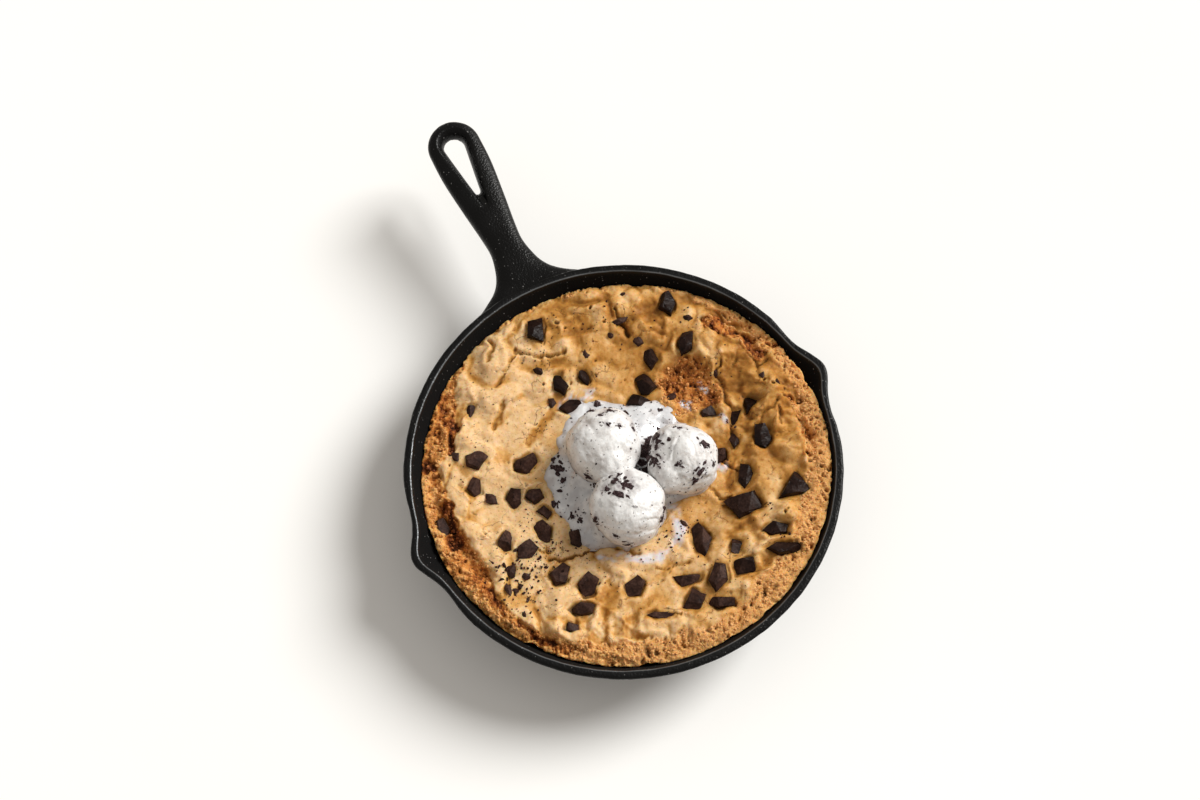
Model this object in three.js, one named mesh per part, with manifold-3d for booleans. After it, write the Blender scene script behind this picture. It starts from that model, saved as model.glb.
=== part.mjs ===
// Skillet cookie: a giant chocolate chunk cookie baked in its cast iron skillet,
// topped with three scoops of cookies-and-cream ice cream in a melted pool.
//
// Millimetres, +Z up. The origin is the centre of the skillet's flat base, the
// handle runs along +Y and the two pouring spouts look along +X and -X. The food
// was laid out in axes of its own, u and v, which are turned FOOD_TURN degrees
// about Z from the skillet's, so it stands in a turned group.

import * as THREE from 'three';
import { ConvexGeometry } from 'three/addons/geometries/ConvexGeometry.js';
import { LoftGeometry } from 'three/addons/geometries/LoftGeometry.js';
import { mergeVertices } from 'three/addons/utils/BufferGeometryUtils.js';
import Module from 'manifold-3d';

const wasm = await Module();
wasm.setup();

// ---- Driving dimensions -------------------------------------------------

const GAP = 0.35; // clearance between pieces that touch
const FOOD_TURN = -26.7; // degrees from the skillet's axes to the food's

// Skillet bowl
const RIM_R = 130;
const RIM_Z = 50;
const RIM_WIDTH = 5;
const RIM_ROUND = 1.6;
const BASE_R = 108;
const BASE_ROUND = 2.5;
const FLOOR_Z = 5;
const WALL_SLOPE = 0.364; // run per rise of the wall, a flare of 20 degrees
const FLOOR_FILLET = 18;
const COLLAR_DROP = 5; // height of the thicker collar under the rim
const COLLAR_PROUD = 0.8;

// Pouring spouts: a bulge of the wall with a slight shoulder on either side
const SPOUT_REACH = 6.5;
const SPOUT_HALF_ANGLE = 5.6; // degrees
const SHOULDER_DIP = 1.6;
const SHOULDER_ANGLE = 12; // degrees from the spout's middle
const SPOUT_DEPTH = 22; // how far below the rim the bulge fades out

// Handle
const TIP_CENTRE_Y = 239; // the end is a half round of this centre
const TIP_R = 17;
const TIP_Y = TIP_CENTRE_Y + TIP_R;
const HANDLE_SIDES = 14; // corners of its rounded section
const HANDLE_STEPS = 15;
const TIP_STEPS = 4;
const ROOT_TOP_Z = 49.4;
const TIP_TOP_Z = 58;
const ROOT_THICK = 15;
const TIP_THICK = 11;
const HANDLE_HALF_WIDTHS = [
  // distance from the origin, half width
  [112, 52],
  [121, 44],
  [130, 30.3],
  [136, 21.8],
  [142, 16.8],
  [150, 13.5],
  [162, 11.1],
  [175, 11.9],
  [196, 14.4],
  [220, 16.8],
  [TIP_CENTRE_Y, TIP_R],
];

// Hanging hole: two circles and their tangents, in a bevelled recess
const EYE_Y = 240;
const EYE_R = 6.3;
const EYE_TAIL_Y = 206.6;
const EYE_TAIL_R = 2;
const RECESS_R = 11.4;
const RECESS_TAIL_Y = 190;
const RECESS_DEPTH = 4.5;
const EYE_ARC_STEPS = 9;
const EYE_FLARE = 2; // the hole widens towards the underside
const HANDLE_RISE_POWER = 1.3; // below 1 the handle would rise soonest at the rim
const HANDLE_SQUARENESS = 0.7; // 1 gives an ellipse, less a squarer section

// Cookie
const COOKIE_RINGS = 19;
const CENTRE_Z = 35;
const PLATEAU_R = 50; // the sunken middle
const CREST_R = 106; // the raised ring near the wall
const CREST_Z = 43.6;
const CREST_TILT = 2.6; // crest height gained towards +u and lost towards -u
const EDGE_Z = 41; // where the crust meets the wall
const EDGE_TILT = 4;
const EDGE_OVAL = 1.8;
const WALL_GAP = 0.55; // between the crust and the skillet
const PATCH = { u: 40, v: 53, radius: 17, depth: 2.2 }; // broken, rough patch
const FOLDS = { from: -109, to: -85, pitch: 4.8, depth: 2.2, radius: 99, reach: 10 };

// Split crust: arcs of a ring, with angles in degrees from +u
const FISSURES = [
  { from: 181, to: 224, radius: 109, drift: 5, depth: 6, width: 5 },
  { from: 42, to: 62, radius: 113, drift: 0, depth: 4, width: 5 },
  { from: 4, to: 26, radius: 111, drift: 0, depth: 3, width: 4 },
  { from: 150, to: 176, radius: 113, drift: 0, depth: 2.5, width: 4.5 },
];

// Chocolate chunks: u, v, length, width, turn of the length from +u in degrees,
// corners of the outline, and how far the chunk stands out of the cookie
const CHUNK_THICK = 9;
const CHUNK_UNEVEN = 0.22; // how much nearer a corner may lie to the middle
const CHUNK_TAPER = 0.74; // least size of the upper face beside the waist
const CHUNK_TILT = 0.16; // radians between the two steepest leans
const CHUNKS = [
  [-54, 89, 17, 10, 95, 4, 3.5],
  [-23.5, 60, 11, 8, 100, 5, 2.4],
  [-38.5, 55, 14.5, 9, 110, 5, 3.2],
  [-31.5, 40.5, 15.5, 8, 8, 5, 3.4],
  [-92.5, 37, 9.5, 5.5, 70, 4, 1.4],
  [-88, 4.5, 14.5, 12.5, 40, 5, 3.6],
  [-58, 4, 16, 11, 45, 5, 3.4],
  [10.5, 44, 15, 7.5, 168, 4, 3.6],
  [0.5, 35.5, 10.5, 4.5, -50, 4, 4.6],
  [27, 105, 17, 11.5, 100, 5, 4.6],
  [38.5, 79.5, 19, 10, 75, 5, 3.6],
  [17, 70.5, 13.5, 9, 105, 5, 3.2],
  [13.5, 55.5, 15.5, 11, 115, 5, 4],
  [51.5, 36.5, 9.5, 7.5, 20, 4, 2.2],
  [67, 32, 11.5, 6.5, 60, 5, 2.4],
  [66.5, 17.5, 11.5, 6.5, 85, 5, 2.2],
  [76.5, 38.5, 12.5, 10.5, 70, 3, 2.4],
  [83.5, 18, 15.5, 10, 95, 5, 3.6],
  [59, 9, 10.5, 6.5, 100, 4, 1.8],
  [73, -6, 17, 10, 95, 5, 3.4],
  [99, -15.5, 20, 17, 35, 3, 4],
  [70.5, -24.5, 21, 14, 20, 4, 4],
  [89, -40.5, 15.5, 9, 0, 5, 3],
  [93.5, -52.5, 20, 8, 2, 5, 3.6],
  [66.5, -50.5, 11.5, 7.5, 80, 4, 2.4],
  [46.5, -45.5, 23.5, 12.5, 110, 5, 3.6],
  [37.5, -69.5, 17, 7.5, 10, 4, 2.6],
  [55.5, -69.5, 18, 11.5, 85, 5, 3.6],
  [70, -62.5, 14, 10.5, 20, 4, 3],
  [41.5, -83.5, 14, 10.5, 60, 4, 3.2],
  [56.5, -84.5, 16, 7, 5, 5, 3],
  [6.5, -74, 14.5, 11, 50, 5, 3.4],
  [21.5, -91.5, 18, 4.5, 2, 5, 1.6],
  [-88, -12.5, 11.5, 9, 75, 5, 3.2],
  [-65, -19, 14.5, 10, 80, 5, 3.4],
  [-53, -16.5, 11, 10, 20, 5, 3.2],
  [-47, -39, 15.5, 11, 125, 5, 3.2],
  [-46.5, -26.5, 9.5, 6.5, 140, 4, 2.4],
  [-69, -47, 16, 9, 80, 5, 3.2],
  [-57, -51.5, 14.5, 11, 55, 5, 3.2],
  [-27, -43.5, 11.5, 9, 100, 5, 3.8],
  [-36.5, -65.5, 15.5, 11, 60, 5, 3.4],
  [-20.5, -73, 16, 11, 65, 5, 3.6],
  [-23.5, -87, 15.5, 8, 10, 5, 3.2],
  [-27.5, -98.5, 11.5, 5.5, -10, 4, 1.6],
  [-106, -37.5, 13.5, 7, 110, 5, 3],
];

// Small chips baked into the skin: u, v, length, width, turn in degrees
const CHIP_PROUD = 1.3;
const CHIPS = [
  [0.5, 112, 8, 5, 80],
  [-2.5, 94, 13, 5, 115],
  [-7.5, 86, 6, 5, 30],
  [-51.5, 63, 7, 5, 50],
  [-43.5, 43, 7, 6, 10],
  [39.5, 95, 6, 5, 90],
  [56.5, 60, 6, 4, 20],
  [84.5, 57, 7, 5, 150],
  [92.5, 51, 6, 5, 20],
  [35.5, -34, 6, 5, 60],
  [-75.5, -60, 7, 6, 20],
  [-65.5, -65, 9, 7, 0],
  [-56.5, -67, 6, 6, 70],
  [-66.5, -76, 8, 5, 20],
  [-38.5, -83, 7, 5, 0],
  [-56.5, -91, 6, 4, 30],
  [-22.5, 72, 9, 7, 40],
  [-99.5, 6.5, 7, 6, 80],
  [9.5, 82.5, 8, 7, 30],
  [29.5, 47, 9, 6, 120],
  [53, 68, 7, 6, 60],
  [-78, -19, 9, 7, 20],
];

// Ice cream: centres of the scoops in the food's axes, and their radii
const SCOOPS = [
  { u: -12, v: 8, z: 52.5, radius: 21.6 },
  { u: 36, v: 0, z: 51.5, radius: 20.7 },
  { u: 3.2, v: -31, z: 53, radius: 21 },
];
const SCOOP_SIDES = 18;
const SCOOP_RINGS = 12;
const SCOOP_LUMP = 0.022; // of the radius
const SKIRT_FLARE = 0.09; // of the radius, where the foot spreads
const BIT_HALF_THICK = 1.8;
const BIT_SUNK = 0.6; // middle of a piece under the scoop's surface

// Cookie pieces that stand out of the scoops: scoop, then compass and height
// angles in degrees of the spot, length and width
const SCOOP_BITS = [
  [0, 75, 40, 6, 3],
  [0, -112, 12, 6, 4],
  [1, 150, 30, 11, 6],
  [1, -172, 24, 9, 6],
  [1, -50, 42, 9, 5],
  [1, 20, 55, 7, 5],
  [2, 100, 62, 11, 5],
  [2, 150, 48, 6, 4],
  [2, -20, 12, 6, 4],
];

const POOL_CENTRE = { u: 2, v: -2 };
const POOL_THICK = 2.4; // over the cookie, in the middle
const POOL_EDGE_THICK = 1.5;
const POOL_STEPS = 36;
const POOL_ROOT_Z = 27; // the slab is cut from here up by the cookie
const POOL_OUTLINE = [
  [-46, 1],
  [-45, -12],
  [-43, -23],
  [-34, -36],
  [-23, -47],
  [-10, -49],
  [8, -48],
  [21, -40],
  [27, -24],
  [38, -18],
  [50, -13],
  [56, 2],
  [53, 19],
  [43, 26],
  [33, 31],
  [28, 42],
  [20, 46],
  [6, 42],
  [-10, 43],
  [-22, 46],
  [-31, 43],
  [-36, 30],
  [-39, 12],
];

// ---- Small tools --------------------------------------------------------

const rad = THREE.MathUtils.degToRad;
const { smoothstep, lerp, clamp } = THREE.MathUtils;

/** A repeatable number from 0 to 1 for each whole number. */
function draw(n) {
  const wave = Math.sin(n * 12.9898) * 43758.5453;
  return wave - Math.floor(wave);
}

/** A bell curve, 1 at the middle. */
function bell(distance, width) {
  return Math.exp(-((distance / width) ** 2));
}

/** 1 between two limits, fading to 0 over `fade` outside them. */
function band(value, low, high, fade) {
  return smoothstep(value, low - fade, low) * (1 - smoothstep(value, high, high + fade));
}

/** The signed angle from `b` to `a` in degrees, within half a turn. */
function angleFrom(a, b) {
  return THREE.MathUtils.euclideanModulo(a - b + 180, 360) - 180;
}

/** A closed geometry as a solid that can be joined and cut. */
function toSolid(geometry) {
  const bare = new THREE.BufferGeometry();
  bare.setAttribute('position', geometry.getAttribute('position').clone());
  bare.setIndex(geometry.getIndex());
  const merged = mergeVertices(bare, 1e-4);
  const corners = Array.from(merged.getIndex().array);
  const faces = [];
  for (let i = 0; i < corners.length; i += 3) {
    const [a, b, c] = corners.slice(i, i + 3);
    if (a !== b && b !== c && c !== a) {
      faces.push(a, b, c);
    }
  }
  return new wasm.Manifold(new wasm.Mesh({
    numProp: 3,
    vertProperties: new Float32Array(merged.getAttribute('position').array),
    triVerts: new Uint32Array(faces),
  }));
}

/** The largest piece of a solid, as a flat-shaded geometry. */
function toGeometry(solid) {
  const pieces = solid.decompose().sort((a, b) => b.volume() - a.volume());
  const mesh = pieces[0].getMesh();
  const geometry = new THREE.BufferGeometry();
  geometry.setAttribute('position', new THREE.BufferAttribute(mesh.vertProperties, 3));
  geometry.setIndex(new THREE.BufferAttribute(mesh.triVerts, 1));
  geometry.computeVertexNormals();
  return geometry;
}

/** A named mesh with its own material. */
function makeMesh(name, geometry, color, roughness, metalness = 0) {
  const material = new THREE.MeshStandardMaterial({ color, roughness, metalness });
  const mesh = new THREE.Mesh(geometry, material);
  mesh.name = name;
  return mesh;
}

// ---- Skillet ------------------------------------------------------------

/** Radius of the inner wall at a height, away from the spouts. */
function wallRadius(z) {
  return RIM_R - RIM_WIDTH - (RIM_Z - z) * WALL_SLOPE;
}

/** How far a spout pushes the wall out, and its shoulders pull it in by `dip`. */
function spoutBulge(degrees, z, dip) {
  const off = Math.abs(angleFrom(degrees * 2, 0)) / 2;
  const bulge = SPOUT_REACH * bell(off, SPOUT_HALF_ANGLE);
  const shoulder = dip * bell(off - SHOULDER_ANGLE, SPOUT_HALF_ANGLE);
  return (bulge - shoulder) * smoothstep(z, RIM_Z - SPOUT_DEPTH, RIM_Z);
}

/** Compass angles round the bowl, closer together at the spouts. */
function bowlAngles() {
  const angles = [];
  let angle = -20;
  while (angle < 340 - 1e-6) {
    angles.push(angle);
    const off = Math.abs(angleFrom(angle * 2 + 5, 0)) / 2;
    angle += off < 18 ? 3 : 6;
  }
  return angles;
}

/** A solid swept round Z from a profile of radius and height, with its spouts. */
function bowlSolid(profile, dip) {
  const angles = bowlAngles();
  const sections = profile.map(([radius, z]) => angles.map((degrees) => {
    const reach = radius + spoutBulge(degrees, z, dip);
    return new THREE.Vector3(reach * Math.cos(rad(degrees)), reach * Math.sin(rad(degrees)), z);
  }));
  return toSolid(new LoftGeometry(sections, { capStart: true, capEnd: true }));
}

/** Points of a quarter round between two directions. */
function cornerPoints(centreR, centreZ, radius, fromDegrees, toDegrees, steps) {
  const points = [];
  for (let i = 0; i <= steps; i += 1) {
    const angle = rad(lerp(fromDegrees, toDegrees, i / steps));
    points.push([centreR + radius * Math.cos(angle), centreZ + radius * Math.sin(angle)]);
  }
  return points;
}

/** The bowl without its hollow. */
function bowlBody() {
  const collarZ = RIM_Z - COLLAR_DROP;
  const underCollar = RIM_R - COLLAR_PROUD - COLLAR_DROP * WALL_SLOPE;
  return bowlSolid([
    ...cornerPoints(BASE_R - BASE_ROUND, BASE_ROUND, BASE_ROUND, -90, -20, 1),
    [underCollar, collarZ],
    [RIM_R - COLLAR_PROUD / 2, collarZ + 1.5],
    ...cornerPoints(RIM_R - RIM_ROUND, RIM_Z - RIM_ROUND, RIM_ROUND, 0, 90, 2),
  ], SHOULDER_DIP);
}

/** The round between floor and wall, moved `inset` into the hollow. */
function floorRound(inset) {
  const wallAngle = Math.atan(WALL_SLOPE);
  const top = FLOOR_Z + FLOOR_FILLET * (1 - Math.sin(wallAngle));
  const centre = wallRadius(top) - FLOOR_FILLET * Math.cos(wallAngle);
  const radius = FLOOR_FILLET - inset;
  const end = -THREE.MathUtils.radToDeg(wallAngle);
  return cornerPoints(centre, FLOOR_Z + FLOOR_FILLET, radius, -90, end, 2);
}

/** The hollow of the bowl, carried on above the rim. */
function bowlHollow() {
  const lip = RIM_ROUND * 0.8;
  return bowlSolid([
    ...floorRound(0),
    [wallRadius(RIM_Z - lip), RIM_Z - lip],
    [wallRadius(RIM_Z) + lip, RIM_Z + 0.05],
    [wallRadius(RIM_Z) + lip, RIM_Z + 10],
  ], 0);
}

/** How far along the handle a point lies, from 0 at the rim to 1 at the tip. */
function alongHandle(y) {
  return clamp((y - RIM_R) / (TIP_Y - RIM_R), 0, 1);
}

/** Height of the handle's upper face. */
function handleTop(y) {
  return lerp(ROOT_TOP_Z, TIP_TOP_Z, alongHandle(y) ** HANDLE_RISE_POWER);
}

/** Half widths along the handle, ending in a half round. */
function handleOutline() {
  const stations = HANDLE_HALF_WIDTHS.map(([y, half]) => new THREE.Vector2(y, half));
  const outline = new THREE.SplineCurve(stations).getPoints(HANDLE_STEPS);
  for (let i = 1; i <= TIP_STEPS; i += 1) {
    const angle = rad((85 * i) / TIP_STEPS);
    const y = TIP_CENTRE_Y + TIP_R * Math.sin(angle);
    outline.push(new THREE.Vector2(y, TIP_R * Math.cos(angle)));
  }
  return outline;
}

/** The handle's bar, rising from the rim to its rounded tip. */
function handleBar() {
  const sections = handleOutline().map(({ x: y, y: halfWidth }) => {
    const roundedEnd = y > TIP_CENTRE_Y ? Math.sqrt(halfWidth / TIP_R) : 1;
    const half = lerp(ROOT_THICK, TIP_THICK, Math.sqrt(alongHandle(y))) / 2;
    const middle = handleTop(y) - half;
    const ring = [];
    for (let i = 0; i < HANDLE_SIDES; i += 1) {
      const angle = (i / HANDLE_SIDES) * 2 * Math.PI;
      const across = Math.sign(Math.cos(angle)) * Math.abs(Math.cos(angle)) ** HANDLE_SQUARENESS;
      const up = Math.sign(Math.sin(angle)) * Math.abs(Math.sin(angle)) ** HANDLE_SQUARENESS;
      ring.push(new THREE.Vector3(-across * halfWidth, y, middle + up * half * roundedEnd));
    }
    return ring;
  });
  return toSolid(new LoftGeometry(sections, { capStart: true, capEnd: true }));
}

/** A teardrop outline that follows the handle's upper face, `rise` above it. */
function teardrop(radius, tailY, tailR, rise) {
  const lean = Math.asin((radius - tailR) / (EYE_Y - tailY));
  const shape = new THREE.Shape();
  shape.absarc(0, EYE_Y, radius, -lean, Math.PI + lean, false);
  shape.absarc(0, tailY, tailR, Math.PI + lean, 2 * Math.PI - lean, false);
  const outline = shape.getPoints(EYE_ARC_STEPS);
  return outline.map((p) => new THREE.Vector3(p.x, p.y, handleTop(p.y) + rise));
}

/** The hanging hole with its bevelled recess. */
function handleEye() {
  const sections = [
    teardrop(EYE_R + EYE_FLARE, EYE_TAIL_Y, EYE_TAIL_R + EYE_FLARE / 2, -TIP_THICK - 4),
    teardrop(EYE_R, EYE_TAIL_Y, EYE_TAIL_R, -TIP_THICK + 2),
    teardrop(EYE_R, EYE_TAIL_Y, EYE_TAIL_R, -RECESS_DEPTH),
    teardrop(RECESS_R, RECESS_TAIL_Y, EYE_TAIL_R, 0.5),
  ];
  return toSolid(new LoftGeometry(sections, { capStart: true, capEnd: true }));
}

function makeSkillet() {
  const iron = bowlBody().add(handleBar()).subtract(bowlHollow()).subtract(handleEye());
  return makeMesh('skillet', toGeometry(iron), 0x1d1c1d, 0.5, 0.6);
}

// ---- Cookie -------------------------------------------------------------

/** Height of the crust where it meets the wall. */
function edgeHeight(degrees) {
  return EDGE_Z + EDGE_TILT * Math.cos(rad(degrees)) + EDGE_OVAL * Math.cos(rad(2 * degrees));
}

/** Radius at which the cookie's top ends, just inside the wall. */
function edgeRadius(degrees) {
  return wallRadius(edgeHeight(degrees)) - WALL_GAP;
}

/** Broad waves of the baked skin. */
function skinWaves(u, v) {
  return Math.sin(0.11 * u + 0.05 * v + 1.3) * Math.sin(0.09 * v - 0.04 * u + 0.4)
    + 0.6 * Math.sin(0.21 * u - 0.13 * v + 2.1) * Math.sin(0.17 * v + 0.19 * u);
}

/** Depth of the split crust at a point. */
function fissureDepth(radius, degrees) {
  let depth = 0;
  for (const split of FISSURES) {
    const middle = (split.from + split.to) / 2;
    const half = (split.to - split.from) / 2;
    const off = angleFrom(degrees, middle);
    const along = clamp(1 - (off / half) ** 2, 0, 1);
    const centre = split.radius - split.drift * (off / half);
    depth += split.depth * Math.sqrt(along) * bell(radius - centre, split.width);
  }
  return depth;
}

/** Depth of the pleats that run in from the front edge. */
function foldDepth(radius, degrees) {
  const off = angleFrom(degrees, FOLDS.from);
  const inside = band(off, 0, FOLDS.to - FOLDS.from, 3) * bell(radius - FOLDS.radius, FOLDS.reach);
  return FOLDS.depth * inside * Math.sin((Math.PI * off) / FOLDS.pitch) ** 2;
}

/** Height of the cookie's top at a point of the food's axes. */
function topHeight(u, v) {
  const radius = Math.hypot(u, v);
  const degrees = THREE.MathUtils.radToDeg(Math.atan2(v, u));
  const crest = CREST_Z + CREST_TILT * Math.cos(rad(degrees));
  const rise = smoothstep(radius, PLATEAU_R, CREST_R);
  const fall = clamp((radius - CREST_R) / (edgeRadius(degrees) - CREST_R), 0, 1);
  const waves = skinWaves(u, v) * lerp(0.45, 1.5, rise) * (1 - fall);
  const patch = PATCH.depth * bell(Math.hypot(u - PATCH.u, v - PATCH.v), PATCH.radius);
  const bowl = lerp(CENTRE_Z, crest, rise) + (edgeHeight(degrees) - crest) * fall ** 2;
  return bowl + waves - patch - fissureDepth(radius, degrees) - foldDepth(radius, degrees);
}

/** Rings of a height field: ring k has 6k points, so its triangles are even. */
function cookieSolid() {
  const points = [[0, 0, topHeight(0, 0)]];
  const faces = [];
  const firstOf = (ring) => (ring === 0 ? 0 : 1 + 3 * ring * (ring - 1));
  for (let ring = 1; ring <= COOKIE_RINGS; ring += 1) {
    for (let i = 0; i < 6 * ring; i += 1) {
      const degrees = (360 * i) / (6 * ring);
      const radius = (edgeRadius(degrees) * ring) / COOKIE_RINGS;
      const u = radius * Math.cos(rad(degrees));
      const v = radius * Math.sin(rad(degrees));
      points.push([u, v, topHeight(u, v)]);
    }
    stitchRings(faces, firstOf(ring - 1), Math.max(1, 6 * (ring - 1)), firstOf(ring), 6 * ring);
  }
  addSide(points, faces, firstOf(COOKIE_RINGS), 6 * COOKIE_RINGS);
  const geometry = new THREE.BufferGeometry();
  geometry.setAttribute('position', new THREE.Float32BufferAttribute(points.flat(), 3));
  geometry.setIndex(faces);
  return toSolid(geometry);
}

/** Triangles between an inner ring and the ring round it. */
function stitchRings(faces, inner, innerCount, outer, outerCount) {
  let i = 0;
  let j = 0;
  while (i < innerCount || j < outerCount) {
    const a = inner + (i % innerCount);
    const b = outer + (j % outerCount);
    const outerNext = (j + 1) / outerCount <= (i + 1) / innerCount || innerCount === 1;
    if (outerNext && j < outerCount) {
      faces.push(a, b, outer + ((j + 1) % outerCount));
      j += 1;
    } else if (innerCount > 1) {
      faces.push(a, b, inner + ((i + 1) % innerCount));
      i += 1;
    } else {
      i = innerCount;
    }
  }
}

/** The cookie's side, just inside the skillet's wall, and its flat underside. */
function addSide(points, faces, topRing, count) {
  let upper = topRing;
  for (const [radius, z] of floorRound(WALL_GAP).reverse()) {
    const start = points.length;
    for (let i = 0; i < count; i += 1) {
      const angle = (2 * Math.PI * i) / count;
      points.push([radius * Math.cos(angle), radius * Math.sin(angle), z]);
    }
    for (let i = 0; i < count; i += 1) {
      const next = (i + 1) % count;
      faces.push(upper + i, start + i, start + next);
      faces.push(upper + i, start + next, upper + next);
    }
    upper = start;
  }
  const centre = points.length;
  points.push([0, 0, FLOOR_Z + WALL_GAP]);
  for (let i = 0; i < count; i += 1) {
    faces.push(centre, upper + ((i + 1) % count), upper + i);
  }
}

/** Corners of a chopped outline that is 1 long and 1 wide. */
function choppedOutline(corners, seed) {
  const outline = [];
  for (let corner = 0; corner < corners; corner += 1) {
    const jitter = corners > 3 ? 0.5 * (draw(seed + corner) - 0.5) : 0;
    const angle = (2 * Math.PI * (corner + 0.5 + jitter)) / corners;
    const reach = 1 - CHUNK_UNEVEN * draw(seed + corner + 5);
    outline.push(new THREE.Vector2(Math.cos(angle) * reach, Math.sin(angle) * reach));
  }
  const box = new THREE.Box2().setFromPoints(outline);
  const middle = box.getCenter(new THREE.Vector2());
  const size = box.getSize(new THREE.Vector2());
  return outline.map((point) => point.sub(middle).divide(size));
}

/** One chopped chunk of chocolate, grown on every side by `grow`. */
function chunkSolid(row, index, grow) {
  const [u, v, length, width, turn, corners, proud] = row;
  const seed = 10 * index + 1;
  const half = CHUNK_THICK / 2 + grow;
  const points = [];
  choppedOutline(corners, seed).forEach((corner, i) => {
    const x = corner.x * (length + 2 * grow);
    const y = corner.y * (width + 2 * grow);
    const shrink = CHUNK_TAPER + 0.2 * draw(seed + i + 8);
    points.push(new THREE.Vector3(x * shrink, y * shrink, half));
    points.push(new THREE.Vector3(x, y, half * 0.25));
    points.push(new THREE.Vector3(x * 0.8, y * 0.8, -half));
  });
  const leans = [3, 4].map((n) => CHUNK_TILT * (draw(seed + n) - 0.5));
  const tilt = new THREE.Euler(...leans, rad(turn));
  const place = new THREE.Matrix4().makeRotationFromEuler(tilt);
  place.setPosition(u, v, topHeight(u, v) + proud - CHUNK_THICK / 2);
  return toSolid(new ConvexGeometry(points).applyMatrix4(place));
}

/** A small chip that stands a little out of the skin. */
function chipSolid([u, v, length, width, turn]) {
  const chip = new THREE.OctahedronGeometry(1);
  chip.scale(length / 2, width / 2, 2 * CHIP_PROUD);
  chip.rotateZ(rad(turn));
  chip.translate(u, v, topHeight(u, v) - CHIP_PROUD * 0.6);
  return toSolid(chip);
}

// ---- Ice cream ----------------------------------------------------------

/** A hand-made ball of ice cream whose foot spreads where it has sunk. */
function scoopBall(scoop, index, grow) {
  const ball = new THREE.SphereGeometry(1, SCOOP_SIDES, SCOOP_RINGS);
  ball.rotateX(Math.PI / 2);
  const spot = ball.getAttribute('position');
  const at = new THREE.Vector3();
  for (let i = 0; i < spot.count; i += 1) {
    at.fromBufferAttribute(spot, i).normalize();
    const lumps = Math.sin(4.1 * at.x + index) * Math.sin(3.7 * at.y + 2 * index)
      + 0.6 * Math.sin(6.3 * at.z + 2.9 * at.x + index);
    const foot = SKIRT_FLARE * smoothstep(-at.z, 0.35, 0.75);
    const reach = scoop.radius * (1 + SCOOP_LUMP * lumps) + grow;
    spot.setXYZ(
      i,
      scoop.u + at.x * reach * (1 + foot),
      scoop.v + at.y * reach * (1 + foot),
      scoop.z + at.z * reach,
    );
  }
  return toSolid(ball);
}

/** A dark piece of cookie half sunk in a scoop. */
function scoopBit([index, compass, height, length, width]) {
  const scoop = SCOOPS[index];
  const bit = new THREE.OctahedronGeometry(1);
  bit.scale(length / 2, width / 2, BIT_HALF_THICK);
  bit.translate(0, 0, scoop.radius - BIT_SUNK);
  bit.rotateY(rad(90 - height));
  bit.rotateZ(rad(compass));
  bit.translate(scoop.u, scoop.v, scoop.z);
  return toSolid(bit);
}

/** A scoop and its pieces of cookie, grown on every side by `grow`. */
function scoopSolid(index, grow) {
  let solid = scoopBall(SCOOPS[index], index, grow);
  for (const bit of SCOOP_BITS.filter((row) => row[0] === index)) {
    solid = solid.add(scoopBit(bit));
  }
  return solid;
}

/** The melted pool as a slab that reaches down into the cookie. */
function poolSlab() {
  const points = POOL_OUTLINE.map(([u, v]) => new THREE.Vector3(u, v, 0));
  const curve = new THREE.CatmullRomCurve3(points, true);
  const outline = curve.getSpacedPoints(POOL_STEPS).slice(0, POOL_STEPS);
  const ring = (spread, heightOf) => outline.map((p) => {
    const u = POOL_CENTRE.u + (p.x - POOL_CENTRE.u) * spread;
    const v = POOL_CENTRE.v + (p.y - POOL_CENTRE.v) * spread;
    return new THREE.Vector3(u, v, heightOf(u, v));
  });
  const skin = (thickness) => (u, v) => topHeight(u, v) + GAP + thickness;
  const sections = [
    ring(1, () => POOL_ROOT_Z),
    ring(1, skin(POOL_EDGE_THICK * 0.5)),
    ring(0.97, skin(POOL_EDGE_THICK)),
    ring(0.86, skin(POOL_THICK)),
    ring(0.6, skin(POOL_THICK)),
    ring(0.3, skin(POOL_THICK)),
  ];
  return toSolid(new LoftGeometry(sections, { capStart: true, capEnd: true }));
}

// ---- The whole ----------------------------------------------------------

function makeFood() {
  const bare = cookieSolid();
  const lifted = bare.translate([0, 0, GAP]);
  const grownChunks = CHUNKS.map((row, index) => chunkSolid(row, index, GAP));
  const scoops = SCOOPS.map((scoop, index) => scoopSolid(index, 0).subtract(lifted));
  const grownScoops = SCOOPS.map((scoop, index) => scoopSolid(index, GAP));

  const food = new THREE.Group();
  food.rotation.z = rad(FOOD_TURN);

  let cookie = bare;
  for (const row of CHIPS) {
    cookie = cookie.add(chipSolid(row));
  }
  let pool = poolSlab().subtract(lifted);
  for (const grown of grownChunks) {
    cookie = cookie.subtract(grown);
    pool = pool.subtract(grown);
  }
  for (const grown of grownScoops) {
    pool = pool.subtract(grown);
  }
  food.add(makeMesh('cookie', toGeometry(cookie), 0xc28a4c, 0.75));
  food.add(makeMesh('melted_ice_cream', toGeometry(pool), 0xe6e6ec, 0.3));

  scoops.forEach((scoop, index) => {
    let solid = scoop;
    for (const grown of grownScoops.slice(0, index)) {
      solid = solid.subtract(grown);
    }
    food.add(makeMesh(`scoop_${index + 1}`, toGeometry(solid), 0xf3f0ee, 0.5));
  });

  CHUNKS.forEach((row, index) => {
    let solid = chunkSolid(row, index, 0);
    for (const grown of grownChunks.slice(0, index)) {
      solid = solid.subtract(grown);
    }
    for (const grown of grownScoops) {
      solid = solid.subtract(grown);
    }
    const name = `chunk_${String(index + 1).padStart(2, '0')}`;
    food.add(makeMesh(name, toGeometry(solid), 0x33201c, 0.45));
  });
  return food;
}

const skilletCookie = new THREE.Group();
skilletCookie.add(makeSkillet());
skilletCookie.add(makeFood());

export default skilletCookie;
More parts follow.
